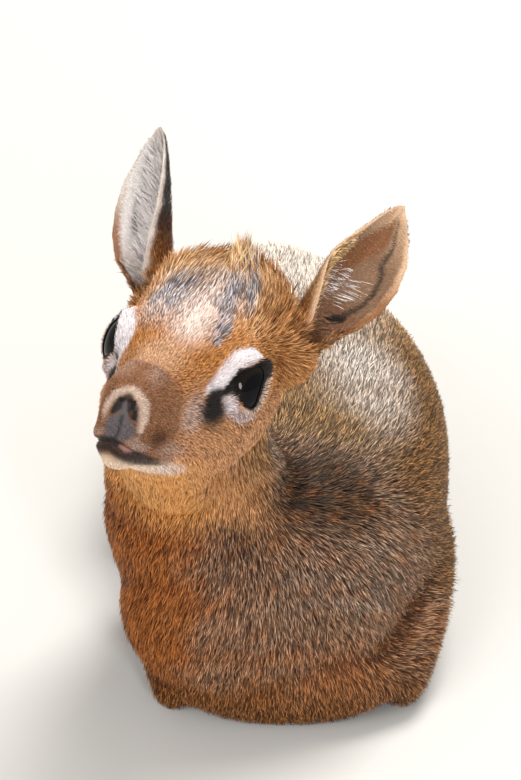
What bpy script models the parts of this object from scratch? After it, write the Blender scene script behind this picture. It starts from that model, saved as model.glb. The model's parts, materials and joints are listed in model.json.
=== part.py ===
"""A young dik dik at life size, lying on its chest with its legs folded under it and its head raised.

Metres, +Z up. The chest and face look towards -Y, the rump lies towards +Y, and the animal's left is +X.
Surfaces stand at the outside of the coat. Every form is first placed with the front of the chest near
the origin, and at the end the animal is moved so that the middle of its box's underside is the origin.
"""

import math
import random

import bmesh
import bpy
from mathutils import Matrix, Vector

MM = 0.001
GAP = 0.35 * MM  # clearance that neighbouring pieces keep
SPACE = 400  # millimetres, more than the animal measures in any direction

# The head has a frame of its own: X forward along the face, Y to the animal's left, Z up,
# with its origin midway between the two eyes.
HEAD_PLACE = Vector((-22, -6, 150)) * MM
HEAD_HEADING = math.radians(-111)
HEAD_LIFT = math.radians(32)
HEAD_ROLL = math.radians(-6.5)

EYE_SPAN = 54  # millimetres, from the front of one eyeball to the front of the other
EYE_RADIUS = 11.5
EYE_BACK = 1.5  # how far behind the head's origin the front of each eyeball stands
EYE_SWING = 62  # degrees that each eye looks outwards from the face
LID_THICKNESS = 1.3
LID_SPREAD = 60  # degrees, half the width of the opening as seen from the eyeball's centre
LID_RISE = 45  # degrees, half its height
LID_TILT = 27  # degrees that its rear corner is raised

EAR_LENGTH = 62.5
EAR_WIDTH = 38  # measured round the curve of its wall
EAR_WALL = 1.5
EAR_BEND = -4  # how far the tip leans towards the ear's back

MOUTH_DEPTH = 3.5
MOUTH_HEIGHT = 1.6

CREST_LOCKS = 22
CREST_FRONT = -6  # along the face, the roots of the first locks and of the last ones
CREST_BACK = -31
CREST_SIDE = 1  # the crest stands a little left of the head's middle
CREST_LENGTH = 15.5
CREST_ROOT = 5  # how far each lock's root is sunk
CREST_SEED = 5

# The planes that part the head from the neck and the neck from the trunk: a point and a direction.
NECK_TOP = ((-15, 18, 112), (0, -0.22, 0.975))
NECK_BASE = ((-8, 26, 74), (0, -0.34, 0.94))

COLOURS = {
    "rust": (0.42, 0.17, 0.06),
    "grey_brown": (0.27, 0.2, 0.14),
    "pale": (0.62, 0.5, 0.4),
    "eye": (0.012, 0.01, 0.01),
    "hoof": (0.05, 0.04, 0.035),
}


# Helpers that make and join meshes


def clear_scene():
    for thing in list(bpy.data.objects):
        bpy.data.objects.remove(thing)


def add_object(name, mesh):
    thing = bpy.data.objects.new(name, mesh)
    bpy.context.scene.collection.objects.link(thing)
    return thing


def object_from(name, shape):
    """An object with the mesh that a bmesh holds. The bmesh is freed."""
    mesh = bpy.data.meshes.new(name)
    shape.to_mesh(mesh)
    shape.free()
    return add_object(name, mesh)


def smooth_rows(rows, steps):
    """Rows read from a smooth curve through the given rows, with this many steps between each two."""
    padded = [rows[0], *rows, rows[-1]]
    made = []
    for i in range(1, len(padded) - 2):
        before, start, end, after = padded[i - 1:i + 3]
        for k in range(steps):
            t = k / steps
            made.append([
                0.5 * (2 * b + (c - a) * t + (2 * a - 5 * b + 4 * c - d) * t ** 2
                       + (3 * b - a - 3 * c + d) * t ** 3)
                for a, b, c, d in zip(before, start, end, after)
            ])
    made.append(list(rows[-1]))
    return made


def closed_loft(name, rings):
    """A closed surface through rings of points, with a pole at each end."""
    shape = bmesh.new()
    made = [[shape.verts.new(point) for point in ring] for ring in rings]
    sides = len(rings[0])
    for near, far in zip(made, made[1:]):
        for k in range(sides):
            shape.faces.new((near[k], near[(k + 1) % sides], far[(k + 1) % sides], far[k]))
    for ring in (made[0], made[-1]):
        pole = shape.verts.new(sum((v.co for v in ring), Vector()) / sides)
        for k in range(sides):
            shape.faces.new((ring[k], ring[(k + 1) % sides], pole))
    bmesh.ops.recalc_face_normals(shape, faces=shape.faces)
    return object_from(name, shape)


def limb(name, rows, steps=4, sides=20, grow=0):
    """A rounded bar along rows of x, y, z, half width and half depth, in millimetres."""
    rows = smooth_rows(rows, steps)
    places = [Vector(row[:3]) * MM for row in rows]
    rings = []
    for i, (place, row) in enumerate(zip(places, rows)):
        ahead = (places[min(i + 1, len(rows) - 1)] - places[max(i - 1, 0)]).normalized()
        across = ahead.cross(Vector((0, 0, 1)))
        if across.length < 0.2:
            across = ahead.cross(Vector((0, 1, 0)))
        across.normalize()
        upward = across.cross(ahead)
        wide, deep = (row[3] + grow) * MM, (row[4] + grow) * MM
        rings.append([
            place + across * wide * math.cos(a) + upward * deep * math.sin(a)
            for a in (math.tau * k / sides for k in range(sides))
        ])
    return closed_loft(name, rings)


def ball(name, place, radii, turns=(), segments=32):
    """An ellipsoid: place and radii in millimetres, turns as pairs of an axis letter and degrees."""
    shape = bmesh.new()
    bmesh.ops.create_uvsphere(shape, u_segments=segments, v_segments=segments // 2, radius=MM)
    stretched = Matrix.Diagonal((*radii, 1))
    turned = Matrix.Identity(4)
    for axis, degrees in turns:
        turned = Matrix.Rotation(math.radians(degrees), 4, axis) @ turned
    shape.transform(Matrix.Translation(Vector(place) * MM) @ turned @ stretched)
    return object_from(name, shape)


def far_side(name, plane, direction, clearance):
    """A large block that fills one side of a plane, up to this clearance from it."""
    point, normal = Vector(plane[0]) * MM, Vector(plane[1]).normalized() * direction
    shape = bmesh.new()
    bmesh.ops.create_cube(shape, size=2 * SPACE * MM)
    turned = normal.to_track_quat("Z", "Y").to_matrix().to_4x4()
    shape.transform(Matrix.Translation(point + normal * (SPACE * MM + clearance)) @ turned)
    return object_from(name, shape)


def applied(thing):
    """The object with its modifiers worked into its mesh."""
    bpy.context.view_layer.update()
    graph = bpy.context.evaluated_depsgraph_get()
    mesh = bpy.data.meshes.new_from_object(thing.evaluated_get(graph))
    thing.modifiers.clear()
    thing.data = mesh
    return thing


def fused(name, pieces, cell, rounds, triangles):
    """The pieces melted into one skin, smoothed so that the joins fillet, with about so many triangles."""
    shape = bmesh.new()
    for piece in pieces:
        shape.from_mesh(piece.data)
        bpy.data.objects.remove(piece)
    whole = object_from(name, shape)
    melt = whole.modifiers.new("melt", "REMESH")
    melt.mode = "VOXEL"
    melt.voxel_size = cell
    ease = whole.modifiers.new("ease", "SMOOTH")
    ease.factor = 0.5
    ease.iterations = rounds
    applied(whole)
    thin = whole.modifiers.new("thin", "DECIMATE")
    thin.ratio = min(1, triangles / (2 * len(whole.data.polygons)))
    return largest_surface(applied(whole))


def largest_surface(thing):
    """The object with only its largest closed surface left."""
    shape = bmesh.new()
    shape.from_mesh(thing.data)
    seen, groups = set(), []
    for start in shape.verts:
        if start in seen:
            continue
        seen.add(start)
        group, queue = [], [start]
        while queue:
            vertex = queue.pop()
            group.append(vertex)
            near = [edge.other_vert(vertex) for edge in vertex.link_edges]
            fresh = [other for other in near if other not in seen]
            seen.update(fresh)
            queue += fresh
        groups.append(group)
    groups.sort(key=len)
    for group in groups[:-1]:
        bmesh.ops.delete(shape, geom=group, context="VERTS")
    shape.to_mesh(thing.data)
    shape.free()
    return thing


def combined(thing, others, operation):
    """The object after one Boolean with a collection of others, which are then removed."""
    tools = bpy.data.collections.new("tools")
    for other in others:
        tools.objects.link(other)
    work = thing.modifiers.new("work", "BOOLEAN")
    work.operation = operation
    work.operand_type = "COLLECTION"
    work.collection = tools
    work.solver = "EXACT"
    applied(thing)
    for other in others:
        bpy.data.objects.remove(other)
    bpy.data.collections.remove(tools)
    return largest_surface(thing)


def cut(thing, cutters):
    """The object with each cutter taken out of it in turn."""
    for cutter in cutters:
        combined(thing, [cutter], "DIFFERENCE")
    return thing


def copied(thing, name):
    return add_object(name, thing.data.copy())


def grown(thing, by=GAP):
    """A copy of the object whose surface stands out by this much, for cutting its room in a neighbour."""
    room = copied(thing, thing.name + "_room")
    shape = bmesh.new()
    shape.from_mesh(room.data)
    shape.normal_update()
    moved = [v.co + v.normal * by * min(v.calc_shell_factor(), 1.4) for v in shape.verts]
    for vertex, place in zip(shape.verts, moved):
        vertex.co = place
    shape.to_mesh(room.data)
    shape.free()
    return room


def placed(thing, matrix):
    thing.data.transform(matrix)
    return thing


def finished(thing, name, colour, roughness=0.85):
    """The object under its own name, with its material, shaded smooth except at sharp edges."""
    thing.name = name
    thing.data.name = name
    coat = bpy.data.materials.new(name)
    coat.use_nodes = True
    shader = coat.node_tree.nodes["Principled BSDF"]
    shader.inputs["Base Color"].default_value = (*COLOURS[colour], 1)
    shader.inputs["Roughness"].default_value = roughness
    shader.inputs["Metallic"].default_value = 0
    thing.data.materials.clear()
    thing.data.materials.append(coat)
    thing.data.shade_smooth()
    thing.data.set_sharp_from_angle(angle=math.radians(50))
    return thing


# The head


def head_frame():
    turned = (Matrix.Rotation(HEAD_HEADING, 4, "Z") @ Matrix.Rotation(-HEAD_LIFT, 4, "Y")
              @ Matrix.Rotation(HEAD_ROLL, 4, "X"))
    return Matrix.Translation(HEAD_PLACE) @ turned


# The head's main form from nose to nape: place along the face, top, underside, half width.
SKULL = (
    (48.5, -11, -18, 2.5),
    (47.5, -8, -23.5, 5),
    (44, -4.5, -28, 6.8),
    (37, -1, -31, 8.4),
    (27, 3, -33, 10.8),
    (17, 8.5, -34, 14.4),
    (6, 16, -35, 20),
    (-6, 25, -35.5, 24),
    (-18, 34, -35, 26),
    (-30, 37, -32, 26.5),
    (-40, 32, -26, 22.5),
    (-48, 19, -14, 14),
)


def skull():
    """The head's main form, a little boxy in section."""
    power = 2 / 2.6
    rings = []
    for x, top, low, half in smooth_rows(SKULL, 3):
        middle, tall = (top + low) / 2, (top - low) / 2
        ring = []
        for k in range(28):
            a = math.tau * k / 28
            wide = math.copysign(abs(math.cos(a)) ** power, math.cos(a))
            high = math.copysign(abs(math.sin(a)) ** power, math.sin(a))
            ring.append(Vector((x, half * wide, middle + tall * high)) * MM)
        rings.append(ring)
    return closed_loft("skull", rings)


def crown(x):
    """The height of the head's top line at this place along the face."""
    for ahead, behind in zip(SKULL, SKULL[1:]):
        if ahead[0] >= x >= behind[0]:
            share = (ahead[0] - x) / (ahead[0] - behind[0])
            return ahead[1] + (behind[1] - ahead[1]) * share
    return 0


def eye_frame(side):
    """The eyeball's frame: origin at its centre, X along the line of sight, Y level, Z up."""
    swing = math.radians(EYE_SWING) * side
    back = EYE_BACK + EYE_RADIUS * math.cos(swing)
    middle = Vector((-back, side * EYE_SPAN / 2 - EYE_RADIUS * math.sin(swing), 0))
    return Matrix.Translation(middle * MM) @ Matrix.Rotation(swing, 4, "Z")


def lid_ray(side, a, wider=1):
    """A direction from the eyeball's centre to the edge of the opening, at angle a round it."""
    spread = math.radians(LID_SPREAD) * math.cos(a) * wider
    rise = math.radians(LID_RISE) * math.sin(a) * (1 - 0.25 * math.cos(a) ** 2) * wider
    tilt = math.radians(LID_TILT)
    level = spread * math.cos(tilt) - rise * math.sin(tilt)
    upward = spread * math.sin(tilt) + rise * math.cos(tilt)
    angle = math.hypot(level, upward)
    reach = math.sin(angle) / angle
    return Vector((math.cos(angle), side * level * reach, upward * reach))


def lid_rim(side):
    """The thick edge of the lids, a closed tube round the opening."""
    around, sides, radius = 24, 6, EYE_RADIUS + LID_THICKNESS * 0.7
    shape = bmesh.new()
    rings = []
    for i in range(around):
        ray = lid_ray(side, math.tau * i / around, 1.07)
        outward = (ray - Vector((ray.x, 0, 0))).normalized()
        across = (outward - ray * outward.dot(ray)).normalized()
        rings.append([
            shape.verts.new((ray * (radius + LID_THICKNESS * math.cos(b))
                             + across * LID_THICKNESS * math.sin(b)) * MM)
            for b in (math.tau * k / sides for k in range(sides))
        ])
    for i in range(around):
        near, far = rings[i], rings[(i + 1) % around]
        for k in range(sides):
            shape.faces.new((near[k], near[(k + 1) % sides], far[(k + 1) % sides], far[k]))
    bmesh.ops.recalc_face_normals(shape, faces=shape.faces)
    return placed(object_from("rim", shape), eye_frame(side))


def lid_opening(side):
    """The cutter that opens the lids, a cone that widens outwards from inside the eyeball."""
    around = 26
    rings = [
        [lid_ray(side, math.tau * (i + 0.4) / around) * reach * MM for i in range(around)]
        for reach in (EYE_RADIUS * 0.6, EYE_RADIUS * 2)
    ]
    return placed(closed_loft("opening", rings), eye_frame(side))


def mouth_cutter():
    """A wedge that runs round the muzzle from one corner of the mouth to the other."""
    # place along the face, half width, height and how far the lips are parted
    half = ((47, 0, -23.6, 1), (45, 4, -25.2, 1), (38, 7.6, -27, 0.8), (30, 10, -28.3, 0.5),
            (18, 13.6, -30, 0.1))
    route = [(x, -y, z, part) for x, y, z, part in reversed(half[1:])] + list(half)
    rows = smooth_rows(route, 4)
    rings = []
    for i, (x, y, z, part) in enumerate(rows):
        near, far = rows[max(i - 1, 0)], rows[min(i + 1, len(rows) - 1)]
        outward = Vector((far[1] - near[1], near[0] - far[0], 0)).normalized()
        place = Vector((x, y, z))
        inner = place - outward * MOUTH_DEPTH * (0.25 + 0.75 * part)
        outer = place + outward * 5
        lift = Vector((0, 0, MOUTH_HEIGHT * (0.25 + 0.75 * part)))
        rings.append([(p * MM) for p in (
            inner - lift * 0.15, outer - lift * 0.8, outer + lift * 0.8, inner + lift * 0.15)])
    return closed_loft("mouth", rings)


def crest_locks():
    """Flat tapered locks that rise along the forehead and crown, each with its root in the head."""
    chance = random.Random(CREST_SEED)
    locks = []
    for i in range(CREST_LOCKS):
        along = (i + 0.5) / CREST_LOCKS
        x = CREST_FRONT + (CREST_BACK - CREST_FRONT) * along
        y = CREST_SIDE + (6.5 - 3.5 * along) * math.sin(i * 2.4) + chance.uniform(-0.8, 0.8)
        slope = math.atan2(crown(x - 3) - crown(x + 3), 6)
        rise = slope + math.radians(24 + 34 * along)
        lean = Vector((-math.cos(rise), -0.05 * (y - CREST_SIDE), math.sin(rise))).normalized()
        across = Vector((chance.uniform(-0.35, 0.35), 1, 0))
        across = (across - lean * across.dot(lean)).normalized()
        bend = lean.cross(across)
        root = Vector((x, y, crown(x))) - lean * CREST_ROOT
        length = CREST_LENGTH + chance.uniform(-1.5, 1.5)
        curl = chance.uniform(-2, 1.5)
        rings = []
        for step, wide in enumerate((2, 2.7, 2.7, 1.9, 0.4)):
            t = step / 4
            middle = root + lean * length * t - bend * curl * t * t
            thick = 0.28 * wide + 0.25
            rings.append([
                (middle + across * wide * math.cos(a) + bend * thick * math.sin(a)) * MM
                for a in (math.tau * k / 5 for k in range(5))
            ])
        locks.append(closed_loft("lock", rings))
    return locks


# Each ear's root, the way its tip points and the way its cup opens. The two ears are turned differently.
EAR_ROOTS = {1: (-33, 21.5, 13), -1: (-36, -20, 14)}
EAR_WAYS = {1: (-0.45, 0.285, 0.85), -1: (-0.3, -0.505, 0.82)}
EAR_OPENS = {1: (0.75, 0.6, 0), -1: (0.74, -0.62, 0)}


def ear_frame(side):
    """The ear's frame: origin at its root, Z towards its tip, X the way its cup opens."""
    way = Vector(EAR_WAYS[side]).normalized()
    opening = Vector(EAR_OPENS[side])
    opening = (opening - way * opening.dot(way)).normalized()
    turned = Matrix((opening, way.cross(opening), way)).transposed().to_4x4()
    return Matrix.Translation(Vector(EAR_ROOTS[side]) * MM) @ turned


# The ear's wall from root to tip: share of the length, share of the width, degrees of arc.
EAR_STATIONS = (
    (0, 0.96, 320), (0.14, 1.04, 285), (0.28, 1.08, 222), (0.44, 1.04, 168), (0.6, 0.95, 138),
    (0.75, 0.77, 118), (0.88, 0.47, 100), (1, 0.07, 80),
)
EAR_ROOT = ((6.5, 0, -4), (6.2, 6.2, 8))


def ear_circle(share, wide, arc):
    """The middle and the radius of the ear's curve at one station."""
    radius = wide * EAR_WIDTH / math.radians(arc)
    return Vector((radius + EAR_BEND * share ** 2, 0, share * EAR_LENGTH)), radius


def ear_cup():
    """The ear's curved wall: a tube at the root that opens into a pointed cup."""
    across = 8
    shape = bmesh.new()
    walls = [[], []]
    for share, wide, arc in EAR_STATIONS:
        centre, radius = ear_circle(share, wide, arc)
        wall = min(EAR_WALL * (1 - 0.5 * share), radius * 0.6)
        for row, reach in zip(walls, (radius, radius - wall)):
            row.append([
                shape.verts.new((centre - Vector((math.cos(b), math.sin(b), 0)) * reach) * MM)
                for b in (math.radians(arc) * (k / across - 0.5) for k in range(across + 1))
            ])
    outer, inner = walls
    for wall in walls:
        for near, far in zip(wall, wall[1:]):
            for k in range(across):
                shape.faces.new((near[k], near[k + 1], far[k + 1]))
                shape.faces.new((near[k], far[k + 1], far[k]))
    for near, far, near_in, far_in in zip(outer, outer[1:], inner, inner[1:]):
        for k in (0, across):
            shape.faces.new((near[k], far[k], far_in[k], near_in[k]))
    for row, row_in in ((outer[0], inner[0]), (outer[-1], inner[-1])):
        for k in range(across):
            shape.faces.new((row[k], row[k + 1], row_in[k + 1], row_in[k]))
    bmesh.ops.recalc_face_normals(shape, faces=shape.faces)
    return object_from("cup", shape)


def ear(side):
    cup = combined(ear_cup(), [ball("root", *EAR_ROOT, segments=14)], "UNION")
    return placed(cup, ear_frame(side))


def ear_room(side):
    """The room that an ear's root and the lower part of its cup take out of the head."""
    rings = []
    for station in EAR_STATIONS[:4]:
        centre, radius = ear_circle(*station)
        reach = radius * 1.02 + 2 * GAP / MM
        rings.append([
            (centre + Vector((math.cos(a), math.sin(a), 0)) * reach) * MM
            for a in (math.tau * (k + 0.3) / 18 for k in range(18))
        ])
    place, radii = EAR_ROOT
    root = ball("root", place, [r * 1.03 + 2 * GAP / MM for r in radii], segments=16)
    return placed(combined(closed_loft("room", rings), [root], "UNION"), ear_frame(side))


# The neck from inside the trunk to inside the skull: x, y, z, half width and half depth.
NECK = (
    (-2, 50, 30, 36, 34),
    (-12, 34, 56, 38, 35),
    (-18, 27, 78, 33.5, 32),
    (-19, 27.5, 98, 28, 27),
    (-15, 30, 114, 23.5, 24),
    (-10, 35, 128, 19, 20),
    (-6, 38, 136, 10, 10),
)


def neck_form():
    return limb("neck_form", NECK, sides=32)


def head_skin():
    """The whole head and the top of the neck as one skin, before eyes, nostrils and mouth are cut."""
    pieces = [
        skull(),
        ball("snout", (35, 0, -10), (12, 8.4, 9)),
        ball("chin", (33, 0, -29.5), (9, 5.4, 4.5)),
    ]
    for side in (1, -1):
        pieces += [
            ball("cheek", (-12, side * 14, -16), (18, 11, 16)),
            ball("orbit", (-6, side * 16.5, 0.5), (16.5, 11.5, 13.5)),
            ball("lip", (37, side * 3.6, -22.5), (8.5, 4.6, 5)),
            placed(ball("ear_foot", (6, 0, -4), (9.4, 9.6, 11)), ear_frame(side)),
        ]
    for piece in pieces:
        placed(piece, head_frame())
    return fused("head", [*pieces, neck_form()], 1.2 * MM, 5, 6400)


def head_and_eyes(ears):
    """The head with lids, mouth and nostrils cut and the crest fused on, and the two eyeballs."""
    head = cut(head_skin(), [far_side("below", NECK_TOP, -1, -GAP / 2)])
    place = head_frame()
    for grown_on in ([lid_rim(1)], [lid_rim(-1)], crest_locks()):
        combined(head, [placed(piece, place) for piece in grown_on], "UNION")
    cutters = [mouth_cutter()]
    eyes = []
    for side in (1, -1):
        socket = ball("socket", (0, 0, 0), [EYE_RADIUS + GAP / MM] * 3, segments=22)
        eyeball = ball("eye", (0, 0, 0), [EYE_RADIUS] * 3, segments=18)
        eyes.append(placed(eyeball, place @ eye_frame(side)))
        nostril = ball("nostril", (46, side * 2.6, -13), (5, 1.3, 3.2), (("X", -24 * side),), segments=12)
        cutters += [placed(socket, eye_frame(side)), lid_opening(side), nostril]
    cut(head, [placed(cutter, place) for cutter in cutters])
    cut(head, [placed(ear_room(side), place) for side in (1, -1)])
    for piece in ears:
        placed(piece, place)
    return head, eyes


# The trunk and the legs

TRUNK = (
    (-5, -12, 34, 13, 14),
    (-5, -4, 35, 31, 28.5),
    (-3, 11, 37, 43.5, 38),
    (6, 34, 40, 49, 42.5),
    (15.5, 62, 42, 50.5, 43.5),
    (20.5, 92, 42, 49.5, 43.5),
    (20, 120, 42, 47, 43),
    (11, 147, 42, 43, 41.5),
    (1, 170, 41, 36, 38),
    (-6, 185, 39, 21, 25),
)
MID_BODY = 11  # where the lengthways plane between the left and right legs stands, along X
BRISKET = ((12, 4, 15), (40, 13, 16))

FORE_LEFT = (
    (32, 24, 46, 18, 22), (48, 46, 39, 16, 20), (59, 64, 29, 12, 14), (60, 46, 23, 10, 11),
    (57, 27, 17, 9.5, 10), (51, 11, 12, 10, 11), (48, 4, 10, 8, 9),
)
FORE_RIGHT = (
    (-22, 28, 46, 18, 22), (-29, 48, 36, 14, 18), (-34, 62, 26, 10.5, 12), (-34, 44, 20, 9.5, 10),
    (-30, 26, 14, 9, 9.5), (-24, 10, 10.5, 9, 10), (-21, 4, 9.5, 7.5, 8),
)
FORE_CANNON_LEFT = (
    (48, 7, 8, 7.5, 8), (54, 28, 6, 5.5, 6), (57, 50, 6, 5.2, 5.8), (58, 64, 6.5, 6, 6.5),
    (58, 74, 6, 5.2, 5.6),
)
HIND_LEFT = (
    (26, 150, 48, 22, 26), (42, 126, 42, 21, 25), (50, 106, 33, 15, 18), (52, 128, 25.5, 11, 12),
    (46, 154, 17, 9.5, 10), (39, 169, 11, 8, 9.5),
)
HIND_CANNON_LEFT = (
    (42, 168, 9, 8, 9), (52, 154, 6.5, 6, 6.5), (57, 136, 6, 5.5, 6), (59, 120, 6.5, 6, 6.5),
    (59, 111, 6, 5.2, 5.6),
)


def mirrored(rows, middle):
    """The rows on the other side of a lengthways plane at x = middle."""
    return tuple((2 * middle - row[0], *row[1:]) for row in rows)


LEGS = {
    "foreleg_left": (FORE_LEFT, FORE_CANNON_LEFT),
    "foreleg_right": (FORE_RIGHT, mirrored(FORE_CANNON_LEFT, MID_BODY)),
    "hindleg_left": (HIND_LEFT, HIND_CANNON_LEFT),
    "hindleg_right": (mirrored(HIND_LEFT, MID_BODY), mirrored(HIND_CANNON_LEFT, MID_BODY)),
}

TAIL = ((0, 180, 47, 7, 6), (-3, 187, 40, 6.5, 5.5), (-5, 193, 31, 5.5, 5), (-6, 195, 23, 3.5, 3.5),
        (-6, 195, 18, 1.2, 1.2))


def hooves(rows):
    """The two hooves of a foot, beyond the last row of its leg, the outer one first."""
    end, before = Vector(rows[-1][:3]), Vector(rows[-2][:3])
    ahead = end - before
    ahead.z = 0
    ahead.normalize()
    across = Vector((math.copysign(1, end.x - MID_BODY), 0, 0))
    across = (across - ahead * across.dot(ahead)).normalized()
    pair = []
    for side in (1, -1):
        made = []
        for step, wide, deep in ((-3, 1.8, 2.6), (0, 2.7, 4.2), (5, 3, 4), (10, 2.4, 2.8), (14, 1, 1.2)):
            place = end + ahead * step + across * side * (3.3 - 0.03 * step)
            made.append((place.x, place.y, deep - 0.25, wide, deep))
        pair.append(limb("hoof", made, steps=1, sides=7))
    return pair


def body_skin():
    """The trunk, neck and legs as one skin."""
    pieces = [limb("trunk", TRUNK, sides=36), ball("brisket", *BRISKET), neck_form()]
    for upper, cannon in LEGS.values():
        pieces += [limb("upper", upper), limb("cannon", cannon)]
    return fused("body", pieces, 2.2 * MM, 6, 2500)


def centre_on_floor(things):
    """Moves the objects together, so that the middle of their box's underside is the origin."""
    points = [vertex.co for thing in things for vertex in thing.data.vertices]
    lowest = Vector([min(point[i] for point in points) for i in range(3)])
    highest = Vector([max(point[i] for point in points) for i in range(3)])
    middle = (lowest + highest) / 2
    middle.z = lowest.z
    for thing in things:
        thing.data.transform(Matrix.Translation(-middle))
    return middle


def build():
    clear_scene()
    floor = far_side("floor", ((0, 0, 0), (0, 0, 1)), -1, 0)
    whole = cut(body_skin(), [floor])
    torso = copied(whole, "torso")
    legs, rooms = {}, []
    for name, (upper, cannon) in LEGS.items():
        reach = [limb("reach", upper, grow=4), limb("reach", cannon, grow=5)]
        region = cut(fused("region", reach, 2.2 * MM, 5, 360), [copied(room, "room") for room in rooms])
        rooms.append(grown(region))
        legs[name] = combined(copied(whole, name), [region], "INTERSECT")
    feet = {name: hooves(cannon) for name, (_, cannon) in LEGS.items()}
    for name, pair in feet.items():
        ground = far_side("floor", ((0, 0, 0), (0, 0, 1)), -1, 0)
        for hoof in pair:
            cut(hoof, [copied(ground, "floor")])
        bpy.data.objects.remove(ground)
        cut(legs[name], [grown(hoof) for hoof in pair])
        rooms += [grown(hoof) for hoof in pair]
    tail = limb("tail", TAIL, steps=2, sides=10)
    above = far_side("above", NECK_BASE, 1, -GAP / 2)
    neck = copied(whole, "neck")
    cut(neck, [far_side("below", NECK_BASE, -1, GAP / 2), far_side("above", NECK_TOP, 1, GAP / 2)])
    cut(torso, [above, grown(tail), *rooms])
    ears = [ear(side) for side in (1, -1)]
    head, eyes = head_and_eyes(ears)
    bpy.data.objects.remove(whole)

    whole_animal = [
        finished(head, "head", "rust"),
        finished(neck, "neck", "grey_brown"),
        finished(torso, "torso", "grey_brown"),
        finished(tail, "tail", "grey_brown"),
    ]
    for side, piece, eyeball in zip(("left", "right"), ears, eyes):
        whole_animal.append(finished(piece, f"ear_{side}", "pale"))
        whole_animal.append(finished(eyeball, f"eye_{side}", "eye", roughness=0.08))
    for name, leg in legs.items():
        whole_animal.append(finished(leg, name, "rust"))
        for hoof, toe in zip(feet[name], ("outer", "inner")):
            whole_animal.append(finished(hoof, f"hoof_{name}_{toe}", "hoof", roughness=0.4))
    return centre_on_floor(whole_animal)


MOVED = build()
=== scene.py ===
# %% [markdown]
# A young dik dik lies on its chest with its legs folded under it and looks up over its shoulder.
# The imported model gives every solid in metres, so each piece below is made where its solid already is.

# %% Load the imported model
import json
import math

import bmesh
import bpy
import numpy as np
from mathutils.bvhtree import BVHTree
from mathutils import Matrix, Vector

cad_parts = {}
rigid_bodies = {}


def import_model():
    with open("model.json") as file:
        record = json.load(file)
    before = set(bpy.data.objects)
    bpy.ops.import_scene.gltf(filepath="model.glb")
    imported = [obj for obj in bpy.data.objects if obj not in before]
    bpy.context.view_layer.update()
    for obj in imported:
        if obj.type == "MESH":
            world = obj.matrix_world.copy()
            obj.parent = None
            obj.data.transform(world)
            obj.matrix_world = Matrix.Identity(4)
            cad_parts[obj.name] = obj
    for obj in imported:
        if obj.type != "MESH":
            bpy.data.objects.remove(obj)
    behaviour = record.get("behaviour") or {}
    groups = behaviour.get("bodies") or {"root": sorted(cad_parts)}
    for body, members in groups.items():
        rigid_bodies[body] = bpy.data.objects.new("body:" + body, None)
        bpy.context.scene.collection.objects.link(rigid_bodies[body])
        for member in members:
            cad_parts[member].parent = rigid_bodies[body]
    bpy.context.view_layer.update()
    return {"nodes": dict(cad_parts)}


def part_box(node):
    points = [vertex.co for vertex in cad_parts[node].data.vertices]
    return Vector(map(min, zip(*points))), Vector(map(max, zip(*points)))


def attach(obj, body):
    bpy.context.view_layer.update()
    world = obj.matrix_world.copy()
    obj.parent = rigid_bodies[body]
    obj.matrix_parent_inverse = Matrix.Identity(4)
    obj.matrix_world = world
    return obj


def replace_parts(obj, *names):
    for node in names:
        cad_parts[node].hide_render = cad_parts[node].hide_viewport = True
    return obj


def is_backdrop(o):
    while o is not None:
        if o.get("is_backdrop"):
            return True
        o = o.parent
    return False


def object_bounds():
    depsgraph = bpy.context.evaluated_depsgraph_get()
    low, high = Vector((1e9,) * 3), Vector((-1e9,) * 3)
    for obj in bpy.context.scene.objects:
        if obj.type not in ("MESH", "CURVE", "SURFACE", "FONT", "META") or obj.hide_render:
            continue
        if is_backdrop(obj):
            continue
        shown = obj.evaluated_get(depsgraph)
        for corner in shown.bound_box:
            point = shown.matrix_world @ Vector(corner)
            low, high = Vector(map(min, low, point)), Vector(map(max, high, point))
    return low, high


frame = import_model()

MM = 0.001
chance = np.random.default_rng(7)

# %% [markdown]
# The photograph looks down on the animal at 35 degrees, from far enough away that the head and the rump
# keep nearly their true sizes. A long lens 1.6 metres away gives that, aimed a little right of the face.

# %% Camera
CAMERA_PLACE = Vector((-0.00696, -1.31118, 1.00373))
CAMERA_TILT = math.radians(55)  # up from looking straight down
LENS = 218.7
SENSOR_HEIGHT = 36

camera = bpy.data.objects.new("camera", bpy.data.cameras.new("camera"))
camera.location = CAMERA_PLACE
camera.rotation_euler = (CAMERA_TILT, 0, 0)
camera.data.sensor_fit = "VERTICAL"
camera.data.sensor_height = SENSOR_HEIGHT
camera.data.lens = LENS
bpy.context.scene.collection.objects.link(camera)
bpy.context.scene.camera = camera
print("camera at", tuple(camera.location))

# %% [markdown]
# A head is easiest to shape in its own frame: X forward along the face, Y to the animal's left, Z up,
# with the origin between the eyes. Its turn is known, and the two eyeballs of the model give its place.

# %% The head's own frame
HEAD_HEADING, HEAD_LIFT, HEAD_ROLL = (math.radians(a) for a in (-111, 32, -6.5))
EYE_RADIUS = 11.5
EYE_SET_BACK = 6.9  # millimetres from the head's origin back to the line between the eyeballs' centres
EYE_SWING = math.radians(62)  # how far each eye looks outwards

HEAD_TURN = (Matrix.Rotation(HEAD_HEADING, 3, "Z") @ Matrix.Rotation(-HEAD_LIFT, 3, "Y")
             @ Matrix.Rotation(HEAD_ROLL, 3, "X"))


def node_centre(node):
    low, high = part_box(node)
    return (low + high) / 2


SIDES = {1: "left", -1: "right"}  # the sign of Y in the head's frame, and the animal's own word for the side
EYE_PLACES = {side: node_centre("eye_" + name) for side, name in SIDES.items()}
HEAD_PLACE = (EYE_PLACES[1] + EYE_PLACES[-1]) / 2 + HEAD_TURN @ Vector((EYE_SET_BACK * MM, 0, 0))
HEAD_AXES = np.array(HEAD_TURN)


def in_head(points):
    """Points in metres, as millimetres in the head's frame."""
    return (points - np.array(HEAD_PLACE)) @ HEAD_AXES / MM


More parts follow.
